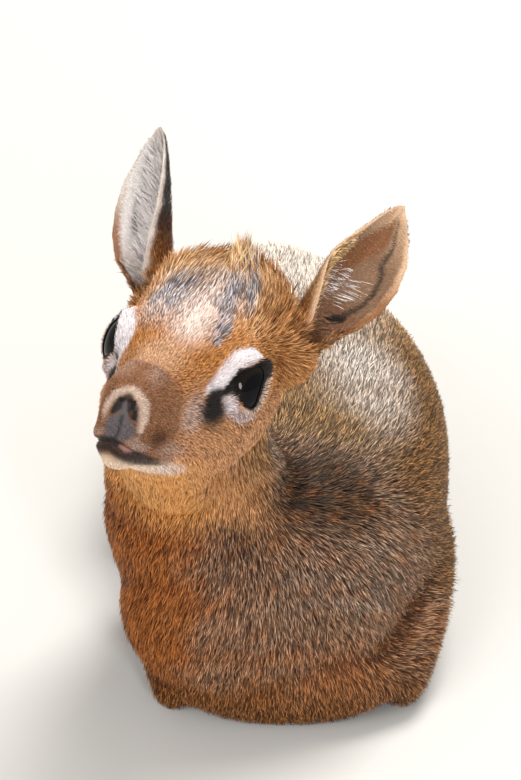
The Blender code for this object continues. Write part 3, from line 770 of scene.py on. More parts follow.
# %% Kinds of coat
COATS = {  # root, lower shaft, upper shaft, tip, share of dark hairs
    "agouti": ((0.026, 0.013, 0.007), (0.075, 0.04, 0.023), (0.45, 0.31, 0.22), (0.09, 0.053, 0.032), 0.52),
    "roan": ((0.026, 0.011, 0.005), (0.09, 0.037, 0.017), (0.43, 0.24, 0.14), (0.1, 0.042, 0.02), 0.46),
    "silver_and_sheen": ((0.08, 0.056, 0.042), (0.28, 0.225, 0.18), (0.76, 0.67, 0.6), (0.46, 0.4, 0.35), 0.34),
    "golden": ((0.03, 0.015, 0.006), (0.11, 0.055, 0.02), (0.46, 0.26, 0.09), (0.1, 0.05, 0.018), 0.5),
    "umber": ((0.02, 0.009, 0.003), (0.07, 0.03, 0.009), (0.3, 0.14, 0.04), (0.06, 0.025, 0.008), 0.5),
    "dark": ((0.011, 0.006, 0.003), (0.026, 0.013, 0.006), (0.13, 0.07, 0.032), (0.022, 0.012, 0.006), 0.6),
    "rust": ((0.06, 0.015, 0.003), (0.18, 0.045, 0.008), (0.4, 0.135, 0.03), (0.21, 0.055, 0.01), 0.25),
    "orange": ((0.11, 0.03, 0.006), (0.32, 0.105, 0.02), (0.6, 0.27, 0.08), (0.4, 0.14, 0.03), 0.18),
    "crown": ((0.14, 0.055, 0.02), (0.44, 0.19, 0.065), (0.86, 0.52, 0.27), (0.5, 0.25, 0.1), 0.22),
    "temple": ((0.1, 0.032, 0.008), (0.27, 0.1, 0.026), (0.5, 0.23, 0.08), (0.3, 0.12, 0.036), 0.25),
    "cheek": ((0.14, 0.052, 0.02), (0.37, 0.15, 0.055), (0.62, 0.33, 0.165), (0.42, 0.18, 0.075), 0.2),
    "cream": ((0.36, 0.29, 0.22), (0.58, 0.49, 0.41), (0.8, 0.72, 0.63), (0.7, 0.61, 0.52), 0.06),
    "white": ((0.6, 0.51, 0.52), (0.74, 0.65, 0.67), (0.86, 0.8, 0.82), (0.8, 0.73, 0.75), 0),
    "grey": ((0.07, 0.058, 0.058), (0.2, 0.17, 0.17), (0.7, 0.63, 0.62), (0.28, 0.24, 0.245), 0.34),
    "slate": ((0.04, 0.04, 0.05), (0.12, 0.12, 0.15), (0.6, 0.6, 0.66), (0.2, 0.2, 0.24), 0.5),
    "pale": ((0.38, 0.25, 0.19), (0.58, 0.42, 0.36), (0.76, 0.6, 0.54), (0.64, 0.47, 0.41), 0.1),
    "tan": ((0.24, 0.115, 0.055), (0.42, 0.22, 0.11), (0.58, 0.36, 0.22), (0.46, 0.26, 0.15), 0.06),
    "brown": ((0.085, 0.032, 0.013), (0.21, 0.085, 0.036), (0.34, 0.16, 0.075), (0.22, 0.1, 0.045), 0.15),
    "black": ((0.008, 0.006, 0.006), (0.014, 0.011, 0.01), (0.022, 0.018, 0.017), (0.01, 0.009, 0.009), 0),
    "pink": ((0.24, 0.15, 0.11), (0.4, 0.27, 0.22), (0.58, 0.43, 0.37), (0.42, 0.29, 0.24), 0.22),
    "lilac": ((0.28, 0.195, 0.18), (0.42, 0.31, 0.3), (0.58, 0.46, 0.45), (0.42, 0.32, 0.315), 0.3),
    "lip": ((0.06, 0.052, 0.055), (0.11, 0.098, 0.104), (0.17, 0.15, 0.16), (0.12, 0.105, 0.11), 0.1),
    "maroon": ((0.02, 0.006, 0.002), (0.06, 0.018, 0.006), (0.12, 0.04, 0.013), (0.07, 0.021, 0.007), 0.2),
    "mouth_pink": ((0.3, 0.14, 0.12), (0.36, 0.18, 0.15), (0.44, 0.24, 0.2), (0.4, 0.2, 0.17), 0),
    "nose_ring": ((0.4, 0.27, 0.2), (0.56, 0.41, 0.32), (0.7, 0.55, 0.45), (0.6, 0.45, 0.35), 0),
    "throat": ((0.34, 0.1, 0.018), (0.53, 0.2, 0.045), (0.68, 0.34, 0.12), (0.57, 0.24, 0.062), 0.02),
    "chin": ((0.5, 0.33, 0.21), (0.68, 0.5, 0.36), (0.8, 0.63, 0.49), (0.72, 0.54, 0.4), 0.02),
}


def kind_row(name):
    *colours, dark = COATS[name]
    return np.array([value for colour in colours for value in colour] + [dark])


def patchy(points, size, seed):
    """Slow random variation from 0 to 1 over the surface, from a few waves in mixed directions."""
    draw = np.random.default_rng(seed)
    total = np.zeros(len(points))
    for _ in range(9):
        wave = draw.normal(size=3) * math.tau / size
        total += np.sin(points @ wave + draw.uniform(0, math.tau))
    return 0.5 + 0.5 * np.clip(total / 4.5, -1, 1)


print(len(COATS), "kinds of coat")

# %% [markdown]
# The trunk is ticked grey-brown, silver on the rump and the shoulder, rust on the chest and legs and orange
# at the throat. The silver along the top of the back and on the rump is partly the coat's own grizzle and
# partly a painted highlight where the light falls from above, and a dark patch on the shoulder under the head
# is painted shadow of the head. Each kind is laid over the ones before it with a soft mask, and slow random
# drift keeps the borders from looking drawn.

# %% Where each kind grows on the body
class Markings:
    """Coat rows for a set of points, built by laying one kind over another."""

    def __init__(self, count, kind):
        self.rows = np.tile(kind_row(kind), (count, 1))

    def lay(self, kind, mask):
        self.rows += (kind_row(kind) - self.rows) * np.clip(mask, 0, 1)[:, None]


def body_coat(points):
    """A coat row for each point of the body and neck. Points in millimetres."""
    x, y, z = points.T
    drift = patchy(points, 38, 3) - 0.5
    coat = Markings(len(points), "agouti")
    front = smoothstep(-10, -50, y)
    coat.lay("golden", smoothstep(-40, -5, y) * 0.85)
    flank = smoothstep(24, 44, x + 8 * drift) * smoothstep(-60, -20, y) * smoothstep(66, 30, y)
    coat.lay("umber", flank * 0.85)
    # silver hair on the top of the back, the shoulder and the rump: partly the coat's own grizzle, partly
    # painted highlight where the light falls on top
    coat.lay("silver_and_sheen", blob(points, (16, 50, 86), (26, 42, 16), 0.6) * (0.35 + 0.5 * drift))
    coat.lay("silver_and_sheen", blob(points, (31, 9, 81), (17, 24, 14), 0.6) * (0.85 + 0.6 * drift))
    coat.lay("silver_and_sheen", blob(points, (4, 96, 78), (40, 40, 22), 0.4) * 0.8)
    coat.lay("cream", blob(points, (4, 92, 78), (30, 30, 22), 0.4) * 0.6)
    coat.lay("golden", blob(points, (14, -19, 84), (15, 8, 10), 0.6) * 0.9)
    coat.lay("roan", smoothstep(34, -16, x + 22 * drift) * front * smoothstep(96, 78, z))
    coat.lay("roan", smoothstep(60, 34, z + 20 * drift) * smoothstep(60, 30, x) * front)
    # painted shadow: the head's shadow on the shoulder and the foot of the neck, laid as the dark coat kind
    coat.lay("dark", blob(points, (14, -46, 78), (25, 15, 13), 0.55))
    coat.lay("dark", blob(points, (-12, -62, 90), (9, 14, 12), 0.7) * 0.8)
    coat.lay("rust", smoothstep(-16, -38, x + 14 * drift - 0.1 * (z - 60)) * front)
    coat.lay("rust", smoothstep(38, 10, z + 18 * drift) * smoothstep(46, 20, x) * 0.85)
    coat.lay("rust", smoothstep(34, 6, z + 18 * drift) * smoothstep(20, 46, x) * 0.45)
    fleck = smoothstep(0.5, 0.85, patchy(points, 8, 21))
    coat.lay("rust", fleck * front * smoothstep(96, 70, z) * 0.5)
    coat.lay("throat", blob(points, (-38, -84, 104), (40, 32, 20), 0.4) * smoothstep(-42, -54, y))
    coat.lay("umber", smoothstep(36, 6, z) * 0.55)
    return coat.rows


print("numbers in a coat row:", body_coat(np.zeros((1, 3))).shape[1])

# %% [markdown]
# The head is orange, with a grizzled forehead, a brown cap on the muzzle, a pale ring round a dark nose,
# black skin and white hair round the eyes, and a pale chin. The same soft blobs and stripes place them,
# along the lines that the folds already follow.

# %% Where each kind grows on the head
RIGHT_BROW = ((13.5, -13.8, -1, 0.6), (11, -15.3, 3.2, 1), (7, -17.4, 7.5, 1))  # broader on that side
TEAR_LINE = ((10.5, 16.8, -6, 1), (7.6, 17.2, -3.8, 1), (5.2, 17.8, -2.4, 0.8))
TONGUE = ((46, 3.4, -24.7, 0.8), (43, 5, -25.6, 1), (41, 5.6, -26, 0.6))
CAP_HEIGHTS = (-27, -19, -13.7, -7.5, -3.2, -0.1, 2)
CAP_EDGES = (18.5, 21, 21, 23, 26, 30.3, 34)  # how far forward the brown cap of the muzzle begins
STREAKS = (  # dark streaks of the forehead, on the head's own left and right
    ((9.4, 11.5, 10.3, 0.5), (5, 10.3, 14.8, 1), (-1.5, 9, 20.4, 1), (-9.1, 7.6, 26.7, 0.7)),
    ((-6, 14.5, 21, 0.7), (-10.5, 13.2, 26, 1), (-14.6, 11.5, 30, 0.8)),
    ((5.4, -8.4, 15.4, 0.5), (-4.3, -9.4, 22, 1), (-8, -7.5, 25.5, 0.6)),
    ((2, -13.5, 13, 0.5), (-4, -13.8, 18.5, 1), (-9, -12.5, 23, 0.6)),
)


def head_coat(local):
    """A coat row for each point of the head. Points in the head's millimetres."""
    sided = mirrored(local)
    x, y, z = local.T
    drift = patchy(local, 13, 5) - 0.5
    fleck = patchy(local, 4.5, 11)
    coat = Markings(len(local), "orange")
    # the crown: orange hair, paler and yellower on top of the head, partly painted highlight where the light
    # falls from above
    coat.lay("crown", smoothstep(10, 16, z) * smoothstep(4, -10, x))
    coat.lay("temple", smoothstep(15, 21, np.abs(y) + 4 * drift) * smoothstep(-2, -8, x) * 0.9)
    coat.lay("cheek", smoothstep(4, -8, z + 5 * drift))
    coat.lay("golden", smoothstep(-36, -48, x) * 0.6)
    coat.lay("throat", smoothstep(-22, -31.5, z + 3 * drift + 0.12 * np.abs(x - 8)) * smoothstep(-60, -40, x))
    coat.lay("cheek", smoothstep(-24, -31, z) * smoothstep(5, 16, y) * smoothstep(4, -8, x) * 0.6)
    # the grizzled forehead and its dark streaks
    coat.lay("grey", blob(local, (0, -9, 17), (13, 9, 10), 0.7) * (0.5 + 0.6 * fleck))
    coat.lay("grey", blob(local, (-5, 4, 22), (10, 8, 8), 0.7) * (0.4 + 0.6 * fleck))
    coat.lay("pale", blob(local, (9.5, 2.4, 13), (9, 6, 8), 0.8) * 0.85)
    coat.lay("cream", blob(local, (8, 2.5, 14), (7, 4.5, 6), 0.8) * 0.5)
    coat.lay("pale", blob(local, (0, 2, 20), (7, 4, 5), 0.8) * 0.4)
    for line, radius in zip(STREAKS, (2.5, 2.5, 2.6, 2.1)):
        coat.lay("slate", stripe(local, line, radius, 0.9) * (0.35 + 1.1 * fleck))
        coat.lay("dark", stripe(local, line, radius * 0.7, 0.9) * smoothstep(0.4, 0.85, fleck) * 0.7)
    # the muzzle and chin
    coat.lay("tan", blob(local, (25, 0, 3), (11, 7.5, 8), 0.6) * 0.9)
    cap = x - np.interp(z, CAP_HEIGHTS, CAP_EDGES)
    coat.lay("brown", smoothstep(-3, 2.2, cap + 2.5 * drift))
    coat.lay("pink", stripe(sided, ((41, 6.5, -2, 1), (34, 5, -0.5, 1)), 3, 0.9) * 0.35)
    coat.lay("pink", blob(sided, (17.5, 14, -11.5), (4.6, 3.6, 6), 0.45) * 0.8)
    coat.lay("pink", blob(sided, (22, 12.5, -24), (7, 4, 3), 0.6) * 0.45)
    coat.lay("maroon", blob(sided, (30.4, 9.7, -20), (5, 3.4, 3), 0.8) * 0.9)
    coat.lay("chin", smoothstep(-27, -30, z) * smoothstep(4, 19, x) * smoothstep(-40, -33, z + 2 * drift))
    coat.lay("pale", blob(local, (14, 11, -30.5), (9, 5, 2.8), 0.6) * 0.7)
    # the nose
    coat.lay("nose_ring", on_front(sided, NOSE_RIM, 1.25, 0.5) * (x > 36) * 0.95)
    coat.lay("black", on_front(sided, ((48, 0, -9.4, 1), (48, 1.2, -11.5, 1)), 1.5, 0.4) * (x > 42) * 0.8)
    coat.lay("lip", on_front(sided, ((48, 0, -12, 1), (48, 0, -16, 1)), 1.3, 0.4) * (x > 42))
    coat.lay("lip", blob(sided * FLAT, (9.3, 1.3, -19.2), (2, 2.9, 4.1), 0.3) * (x > 40) * 0.95)
    coat.lay("pink", on_front(sided, ((44, 5.2, -22, 1), (38, 7.4, -24, 1)), 1.5, 0.6) * 0.6)
    # round the eyes
    coat.lay("white", stripe(sided, BROW, 2.9, 0.38))
    coat.lay("white", stripe(local, RIGHT_BROW, 2.1, 0.38))
    coat.lay("white", stripe(sided, (BROW[-1], (-3.6, 23.6, 11, 0.35)), 2.9, 0.38))
    coat.lay("lilac", stripe(sided, LOWER_LID, 2.2, 0.35) * 0.95)
    coat.lay("white", blob(sided, (4, 19.3, -6.5), (3, 3, 3.4), 0.45) * 0.75)
    coat.lay("black", blob(sided, (10, 17.2, -9.2), (6, 4.4, 5.8), 0.4))
    coat.lay("black", stripe(sided, TEAR_LINE, 2.8, 0.35))
    for side in SIDES:
        edge = beyond(local, side)
        near = np.linalg.norm(local - eye_centre(side), axis=1) < 16
        back = smoothstep(2, -2, x) * smoothstep(9, 5, z)
        coat.lay("cream", smoothstep(8, 4, edge) * near * back * 0.75)
        coat.lay("black", smoothstep(2.2, 0.4, edge) * near)
    # the mouth and nostrils
    coat.lay("black", on_front(sided, LOWER_LIP, 1.75, 0.85) * (x > 16) * 0.92)
    coat.lay("black", on_front(sided, MOUTH, 1.1, 0.35) * (x > 16))
    coat.lay("mouth_pink", on_front(local, TONGUE, 0.8, 0.4) * (x > 38))
    coat.lay("black", on_front(sided, NOSTRIL, 1.45, 0.25) * (x > 40))
    coat.lay("black", on_front(sided, PHILTRUM, 0.55, 0.6) * (x > 44) * 0.9)
    return coat.rows


def head_share(local):
    """1 on the head and 0 on the neck and body, with a soft edge behind the jaw."""
    z = local[:, 2] + 0.25 * np.clip(-local[:, 0] - 20, 0, 40)
    return smoothstep(-46, -36, z) * smoothstep(-64, -50, local[:, 0])


def coat_rows(points):
    """A coat row for each point in metres, blended from head to neck."""
    local = in_head(points)
    body, head = body_coat(points / MM), head_coat(local)
    return body + (head - body) * head_share(local)[:, None]


def skin_colour(rows):
    """The colour that shows between the hairs: the root with some of the lower shaft."""
    colour = rows[:, 0:3] * 0.5 + rows[:, 3:6] * 0.5
    return np.concatenate([colour, np.ones((len(colour), 1))], 1)


print(len(STREAKS), "dark streaks on the forehead")


# %% [markdown]
# Hair lies in a direction that turns slowly over the body: back from the nose over the face, down the
# throat and chest, round the shoulder and back along the flanks. A few guides give that direction at
# named places, and every hair takes a mixture of the guides near it, laid flat on the skin.

# %% The lie of the coat
HEAD_GUIDES = (  # a place and a direction in the head's frame; the right side mirrors the left
    ((46, 0, -6), (-0.5, 0, 1)), ((49, 3, -18), (-0.2, 1, -0.7)), ((42, 7, -14), (-0.6, 0.8, -0.1)),
    ((36, 0, 0), (-1, 0, 0.3)), ((28, 10, -15), (-1, 0.3, -0.2)), ((32, 8, -22), (-0.9, 0.4, -0.4)),
    ((15, 0, 9), (-1, 0, 0.5)), ((15, 15, -14), (-1, 0.4, -0.35)), ((12, 16, -3), (-0.6, 0.3, 0.8)),
    ((3, 21, 10), (-1, 0.2, 0.35)), ((-6, 10, 24), (-1, -0.12, 0.6)), ((-6, 0, 26), (-1, 0, 0.6)),
    ((-4, 26, -14), (-0.85, 0.1, -0.55)), ((-20, 28, 0), (-0.8, 0.3, -0.2)),
    ((-22, 26, -18), (-0.7, 0, -0.8)),
    ((-26, 20, 24), (-0.6, 0.5, 0.5)), ((-32, 0, 37), (-1, 0, 0.1)), ((-44, 10, 28), (-0.7, 0, -0.8)),
    ((30, 0, -34), (-1, 0, -0.2)), ((0, 10, -34), (-0.8, 0.1, -0.6)), ((-30, 10, -36), (-0.5, 0, -1)),
)
BODY_GUIDES = (  # a place and a direction in the model's frame, in millimetres
    ((-40, -72, 92), (-0.15, -0.3, -1)), ((-14, -70, 91), (0.05, -0.3, -1)), ((-56, -56, 72), (-0.35, 0, -1)),
    ((-33, -76, 71), (-0.35, -0.3, -1)), ((-27, -83, 52), (-0.3, -0.3, -1)),
    ((-20, -82, 22), (-0.2, -0.1, -1)),
    ((6, -70, 70), (0.15, -0.4, -1)), ((19, -56, 73), (0.5, -0.1, -0.8)), ((32, -60, 59), (0.5, -0.1, -1)),
    ((16, -80, 20), (0.2, 0, -1)), ((47, -43, 29), (0.6, 0.5, -0.8)), ((50, -17, 60), (0.4, 0.9, -0.5)),
    ((32, 2, 80), (0.15, 1, 0)), ((14, -43, 79), (0.35, 0.9, 0.1)), ((-4, -50, 92), (0.5, 0.3, -0.8)),
    ((-20, -15, 105), (0, 0.8, -0.6)), ((-40, -25, 84), (-0.5, 0.8, -0.6)), ((9, 60, 84), (0, 1, -0.05)),
    ((4, 110, 70), (0, 0.8, -0.6)), ((52, 40, 42), (0.1, 1, -0.45)), ((46, 82, 40), (-0.1, 0.9, -0.6)),
    ((-50, 0, 60), (-0.3, 0.9, -0.45)), ((-44, 60, 50), (0, 1, -0.45)), ((-36, 95, 40), (0.2, 0.8, -0.6)),
    ((-5, 122, 40), (0, 0.3, -1)), ((56, -5, 12), (0.1, 1, -0.2)), ((-48, -5, 12), (-0.1, 1, -0.2)),
    ((50, 60, 12), (0, 1, -0.2)), ((-46, 60, 12), (0, 1, -0.2)),
)


def guided(points, guides, reach):
    """The guides' directions mixed by how near each one is."""
    total = np.zeros_like(points)
    for place, way in guides:
        far = ((points - np.array(place, float)) ** 2).sum(1) / reach ** 2
        total += (np.exp(-far) + 1e-7 / (1 + far))[:, None] * unit(np.array(way, float))
    return total


CREST_TOP = np.array((-14.0, 4.0, 43.5))
CREST_HEART = CREST_TOP - (0, 0, 3)  # the hair of the forehead runs to this place


def lie_of(points, normals):
    """The direction along the skin in which the hair lies, at points in metres."""
    local = in_head(points)
    side = np.where(local[:, 1:2] < 0, -1.0, 1.0)
    mirror = np.concatenate([np.ones_like(side), side, np.ones_like(side)], 1)
    head_way = unit(guided(local * mirror, HEAD_GUIDES, 9)) * mirror
    to_crest = CREST_HEART - local
    far = np.linalg.norm(to_crest, axis=1)
    drawn = smoothstep(12, -2, local[:, 0]) * smoothstep(8, 17, local[:, 2]) * smoothstep(34, 16, far)
    head_way = unit(head_way + (unit(to_crest) * 1.6 - head_way) * drawn[:, None])
    for one in SIDES:
        _, across, outward, edgeward, on_ear = ear_places(local, one)
        inside = (normals @ HEAD_AXES * outward).sum(1) < 0
        upward = ear_axes(one)[2]
        back_way = upward + edgeward * across[:, None] * 0.5
        ear_way = np.where(inside[:, None], edgeward + upward * 0.45, back_way)
        head_way = head_way + (unit(ear_way) - head_way) * on_ear[:, None]
    body_way = unit(guided(points / MM, BODY_GUIDES, 20))
    on_head = head_share(local)
    on_head = np.maximum(on_head, on_an_ear(local))[:, None]
    way = body_way + (head_way @ HEAD_AXES.T - body_way) * on_head
    return unit(way - normals * (way * normals).sum(1)[:, None])


print(len(HEAD_GUIDES) + len(BODY_GUIDES), "guides for the lie of the coat")


# %% [markdown]
# One hair is too thin to model, so a tuft stands for a few: a bent blade, widest a third of the way up
# and drawn to a point. Four rows of points carry the four colours of the coat kind. Its two edges and its
# length are stored as numbers too, and the material uses them to part the blade into single hairs.

# %% Tufts from arrays
TUFTS_A_PIECE = 38000  # five triangles each, so a piece stays under 200,000
TUFT_ROWS = (0, 0.34, 0.7, 1)
TUFT_SHAPE = (0.75, 1, 0.7)  # share of the width at each row before the tip
PATCH = 0.003  # width of each tuft's own patch on the unwrapped map
LOWEST_TUFT = 0.2 * MM  # above the floor
SWING_SPREAD, LIFT_SPREAD, LENGTH_SPREAD, WIDTH_SPREAD, BEND_SPREAD = 0.16, 0.25, 0.13, 0.2, 0.07
LEAST_LIFT = 0.03
SHADE_SPREAD = 0.2
DARK_SHARES = (0.8, 0.6, 0.3, 0.4)  # of each colour from root to tip, in a dark tuft
LIGHTEST = 0.92


def scatter(points, corners, weight, count):
    """Chooses places on the triangles, as corner indices and shares, with this weight at each point."""
    a, b, c = (points[corners[:, k]] for k in range(3))
    area = np.linalg.norm(np.cross(b - a, c - a), axis=1) / 2
    total = np.cumsum(area * weight[corners].mean(1))
    pick = np.searchsorted(total, (np.arange(count) + chance.random(count)) / count * total[-1])
    pick = np.minimum(pick, len(corners) - 1)
    u, v = chance.random(count), chance.random(count)
    turn = u + v > 1
    u[turn], v[turn] = 1 - u[turn], 1 - v[turn]
    return corners[pick], np.stack([1 - u - v, u, v], 1)


def between(values, where, share):
    """The values of a field at scattered places."""
    picked = values[where]
    if values.ndim == 1:
        return (picked * share).sum(1)
    return (picked * share[:, :, None]).sum(1)


def tuft_colours(rows):
    """Four colours from root to tip for each tuft, with some tufts dark and some bright."""
    count = len(rows)
    colours = rows[:, :12].reshape(count, 4, 3).copy()
    dark = chance.random(count) < rows[:, 12]
    shade = np.exp(chance.normal(0, SHADE_SPREAD, count))
    colours *= shade[:, None, None]
    colours[dark] *= np.array(DARK_SHARES)[:, None]
    return np.clip(colours, 0, LIGHTEST)


def tuft_meshes(name, roots, normals, lies, length, width, lift, colours, unwrap, droop=0.5, roll=0.45):
    """Tufts as meshes of at most TUFTS_A_PIECE each. Lengths and widths in metres, lift in radians."""
    count = len(roots)
    spin = chance.normal(0, roll, count)[:, None]
    across = unit(np.cross(lies, normals))
    face = unit(across * np.cos(spin) + normals * np.sin(spin))
    swing = chance.normal(0, SWING_SPREAD, count)[:, None]
    way = unit(lies + across * swing)
    steep = np.maximum(lift * (1 + chance.normal(0, LIFT_SPREAD, count)), LEAST_LIFT)[:, None]
    length = (length * np.exp(chance.normal(0, LENGTH_SPREAD, count)))[:, None]
    half = (width * np.exp(chance.normal(0, WIDTH_SPREAD, count)))[:, None] / 2
    sideways = chance.normal(0, BEND_SPREAD, count)[:, None]
    # a tuft that stands up takes less of its shading from the skin under it
    standing = np.clip(1.25 - 1.4 * np.sin(lift), 0.25, 1)[:, None]
    points = np.empty((count, 7, 3))
    for row, t in enumerate(TUFT_ROWS):
        rise = np.sin(steep) * (t - droop * t * t * 0.5)
        middle = roots + length * (way * np.cos(steep) * t + normals * rise + across * sideways * t * t)
        if row < 3:
            reach = face * half * TUFT_SHAPE[row]
            points[:, row * 2] = middle - reach
            points[:, row * 2 + 1] = middle + reach
        else:
            points[:, 6] = middle
    points[:, :, 2] = np.maximum(points[:, :, 2], LOWEST_TUFT)
    along = np.array([TUFT_ROWS[k // 2] for k in range(7)])
    edge = np.array([-1, 1, -1, 1, -1, 1, 0])
    tint = colours[:, [0, 0, 1, 1, 2, 2, 3]]
    order = np.argsort(unwrap[:, 1], kind="stable")
    pieces = -(-count // TUFTS_A_PIECE)
    meshes = []
    for k in range(pieces):
        part = order[k * count // pieces:(k + 1) * count // pieces]
        many = len(part)
        first = (np.arange(many) * 7)[:, None]
        loops = (first + np.array([0, 1, 3, 2, 2, 3, 5, 4, 4, 5, 6])).ravel()
        mesh = mesh_from(f"{name}_{k + 1}", points[part].reshape(-1, 3), loops, np.tile([4, 4, 3], many))
        solid = np.ones((many, 7, 1))
        give(mesh, "coat", np.concatenate([tint[part], solid], 2).reshape(-1, 4))
        give(mesh, "edge", np.tile(edge, many))
        give(mesh, "along", np.tile(along, many))
        give(mesh, "tuft", np.repeat(chance.random(many), 7))
        give(mesh, "outward", np.repeat(normals[part] * standing[part], 7, axis=0))
        low, high = unwrap[part].min(0), unwrap[part].max(0)
        place = (unwrap[part] - low) / (high - low) * (1 - PATCH)
        corner = np.stack([(edge + 1) / 2, along], 1) * PATCH
        flat = (place[:, None] + corner).reshape(-1, 2)
        mesh.uv_layers.new(name="OFBake").data.foreach_set("uv", flat[loops].astype(np.float32).ravel())
        meshes.append(mesh)
    return meshes


print("one tuft has", 2 + 2 + 1, "triangles")

# %% [markdown]
# The coarse sheet is drawn onto the fine one at the neck and tucked a little under it, so that no step
# shows. Both are trimmed there, with a few millimetres of overlap, and joined into one skin that stands
# for every solid of flesh.

# %% One skin
def faces_of(mesh):
    loops = np.empty(len(mesh.loops), np.int32)
    mesh.loops.foreach_get("vertex_index", loops)
    sizes = np.empty(len(mesh.polygons), np.int32)
    mesh.polygons.foreach_get("loop_total", sizes)
    return loops, sizes


def trimmed(mesh, points, keep):
    """Points, corner indices and face sizes of the faces whose points are all kept."""
    loops, sizes = faces_of(mesh)
    starts = np.concatenate(([0], np.cumsum(sizes)[:-1]))
    whole = np.minimum.reduceat(keep[loops].astype(np.int8), starts).astype(bool)
    loops = loops[np.repeat(whole, sizes)]
    used = np.zeros(len(points), bool)
    used[loops] = True
    index = np.cumsum(used) - 1
    return points[used], index[loops], sizes[whole]


NECK_CUT = 95  # millimetres above the floor, where the fine sheet hands over to the coarse one
OVERLAP = 4
DRAWN_SHARES = (0.3, 0.45, 0.6, 0.75, 0.88, 1)  # heights on the left ear
DRAWN_PULLS = (0, 0.12, 0.34, 0.47, 0.45, 0.2)  # how far its inner edge is drawn in, in half widths

z_head, z_body = head_points[:, 2] / MM, body_points[:, 2] / MM
fine_sheet = BVHTree.FromPolygons((head_points / MM).tolist(), triangles_of(head_mesh).tolist())
for k in np.flatnonzero((z_body > 84) & (z_body < NECK_CUT + OVERLAP + 3)):
    near, outward, _, far = fine_sheet.find_nearest(body_points[k] / MM)
    if far < 3:
        target = np.array(near) - np.array(outward) * 0.25 * smoothstep(93, 97, z_body[k])
        body_points[k] += (target * MM - body_points[k]) * smoothstep(84, 91, z_body[k])
upper = trimmed(head_mesh, head_points, z_head > NECK_CUT - OVERLAP)
lower = trimmed(body_mesh, body_points, z_body < NECK_CUT + OVERLAP)
skin_points = np.concatenate([upper[0], lower[0]])
skin_loops = np.concatenate([upper[1], lower[1] + len(upper[0])])
wide_local = in_head(skin_points)
skin_local = drawn_in(wide_local, 1, DRAWN_SHARES, DRAWN_PULLS)
skin_points = from_head(skin_local)
skin_mesh = mesh_from("skin", skin_points, skin_loops, np.concatenate([upper[2], lower[2]]))
skin_normals = normals_of(skin_mesh)
skin_corners = triangles_of(skin_mesh)
EAR_FIELDS = {}
for side in SIDES:
    share, across, _, _, on_ear = ear_places(wide_local, side)
    outward = ear_places(skin_local, side)[2]
    inside = ((skin_normals @ HEAD_AXES * outward).sum(1) < 0) * 1.0
    EAR_FIELDS[side] = share, across, inside, on_ear
on_ears = on_an_ear(wide_local)
print("skin:", len(skin_points), "points,", len(skin_corners), "triangles")

# %% [markdown]
# An ear is pale and nearly bare inside, with a rust-brown hollow near the tip, and painted shade in its crease
# and in the hole at the bottom. Outside it is short-haired, grey near the tip and rust at the root. The left
# ear's inner face and the right ear's back are painted darker, as shade on the sides turned from the light.

# %% Markings of the ears
RUST_HOLLOW = ((0.56, -0.25), (0.68, -0.13), (0.8, 0.1))  # share of the height and place across
EAR_HOLE = ((0.26, 0.24), (0.28, 0.34), (0.3, 0.44))
COATS.update({  # root, lower shaft, upper shaft, tip, share of dark hairs
    # the left ear's inner face: a brown painted shade in place of the pale lining
    "inside": ((0.18, 0.1, 0.055), (0.23, 0.13, 0.075), (0.32, 0.195, 0.12), (0.34, 0.215, 0.14), 0),
    "lining": ((0.58, 0.53, 0.5), (0.73, 0.68, 0.66), (0.85, 0.82, 0.8), (0.87, 0.84, 0.82), 0),
    "patch": ((0.16, 0.062, 0.024), (0.2, 0.08, 0.033), (0.3, 0.13, 0.055), (0.32, 0.15, 0.07), 0),
    "lower": ((0.15, 0.065, 0.032), (0.21, 0.1, 0.05), (0.31, 0.165, 0.095), (0.29, 0.15, 0.085), 0.1),
    # painted shade for the crease and the hole of the ear
    "hollow_shade": ((0.008, 0.006, 0.005), (0.012, 0.009, 0.008), (0.02, 0.015, 0.013), (0.02, 0.015, 0.013), 0),
    "rim": ((0.5, 0.3, 0.17), (0.66, 0.43, 0.27), (0.84, 0.64, 0.47), (0.86, 0.68, 0.52), 0),
    "pale_rim": ((0.5, 0.42, 0.36), (0.62, 0.54, 0.48), (0.8, 0.74, 0.68), (0.82, 0.77, 0.72), 0),
    "ear_back": ((0.22, 0.12, 0.05), (0.44, 0.26, 0.11), (0.7, 0.46, 0.23), (0.42, 0.25, 0.11), 0.22),
    # the right ear's back: a dark russet that is painted shade
    "shaded_ear_back": ((0.018, 0.006, 0.002), (0.05, 0.015, 0.004), (0.13, 0.045, 0.013), (0.05, 0.016, 0.005), 0.35),
    "smoke": ((0.014, 0.012, 0.012), (0.034, 0.03, 0.03), (0.1, 0.09, 0.09), (0.035, 0.03, 0.03), 0.4),
})


def folded_fur(side):
    """1 where the left ear's inner edge folds over and shows the long fur of its back."""
    share, across, inside, on_ear = EAR_FIELDS[side]
    low = smoothstep(-0.42, -0.66, across + 0.35 * np.clip(share - 0.3, 0, 1)) * smoothstep(0.74, 0.55, share)
    return low * inside * on_ear * (side > 0)


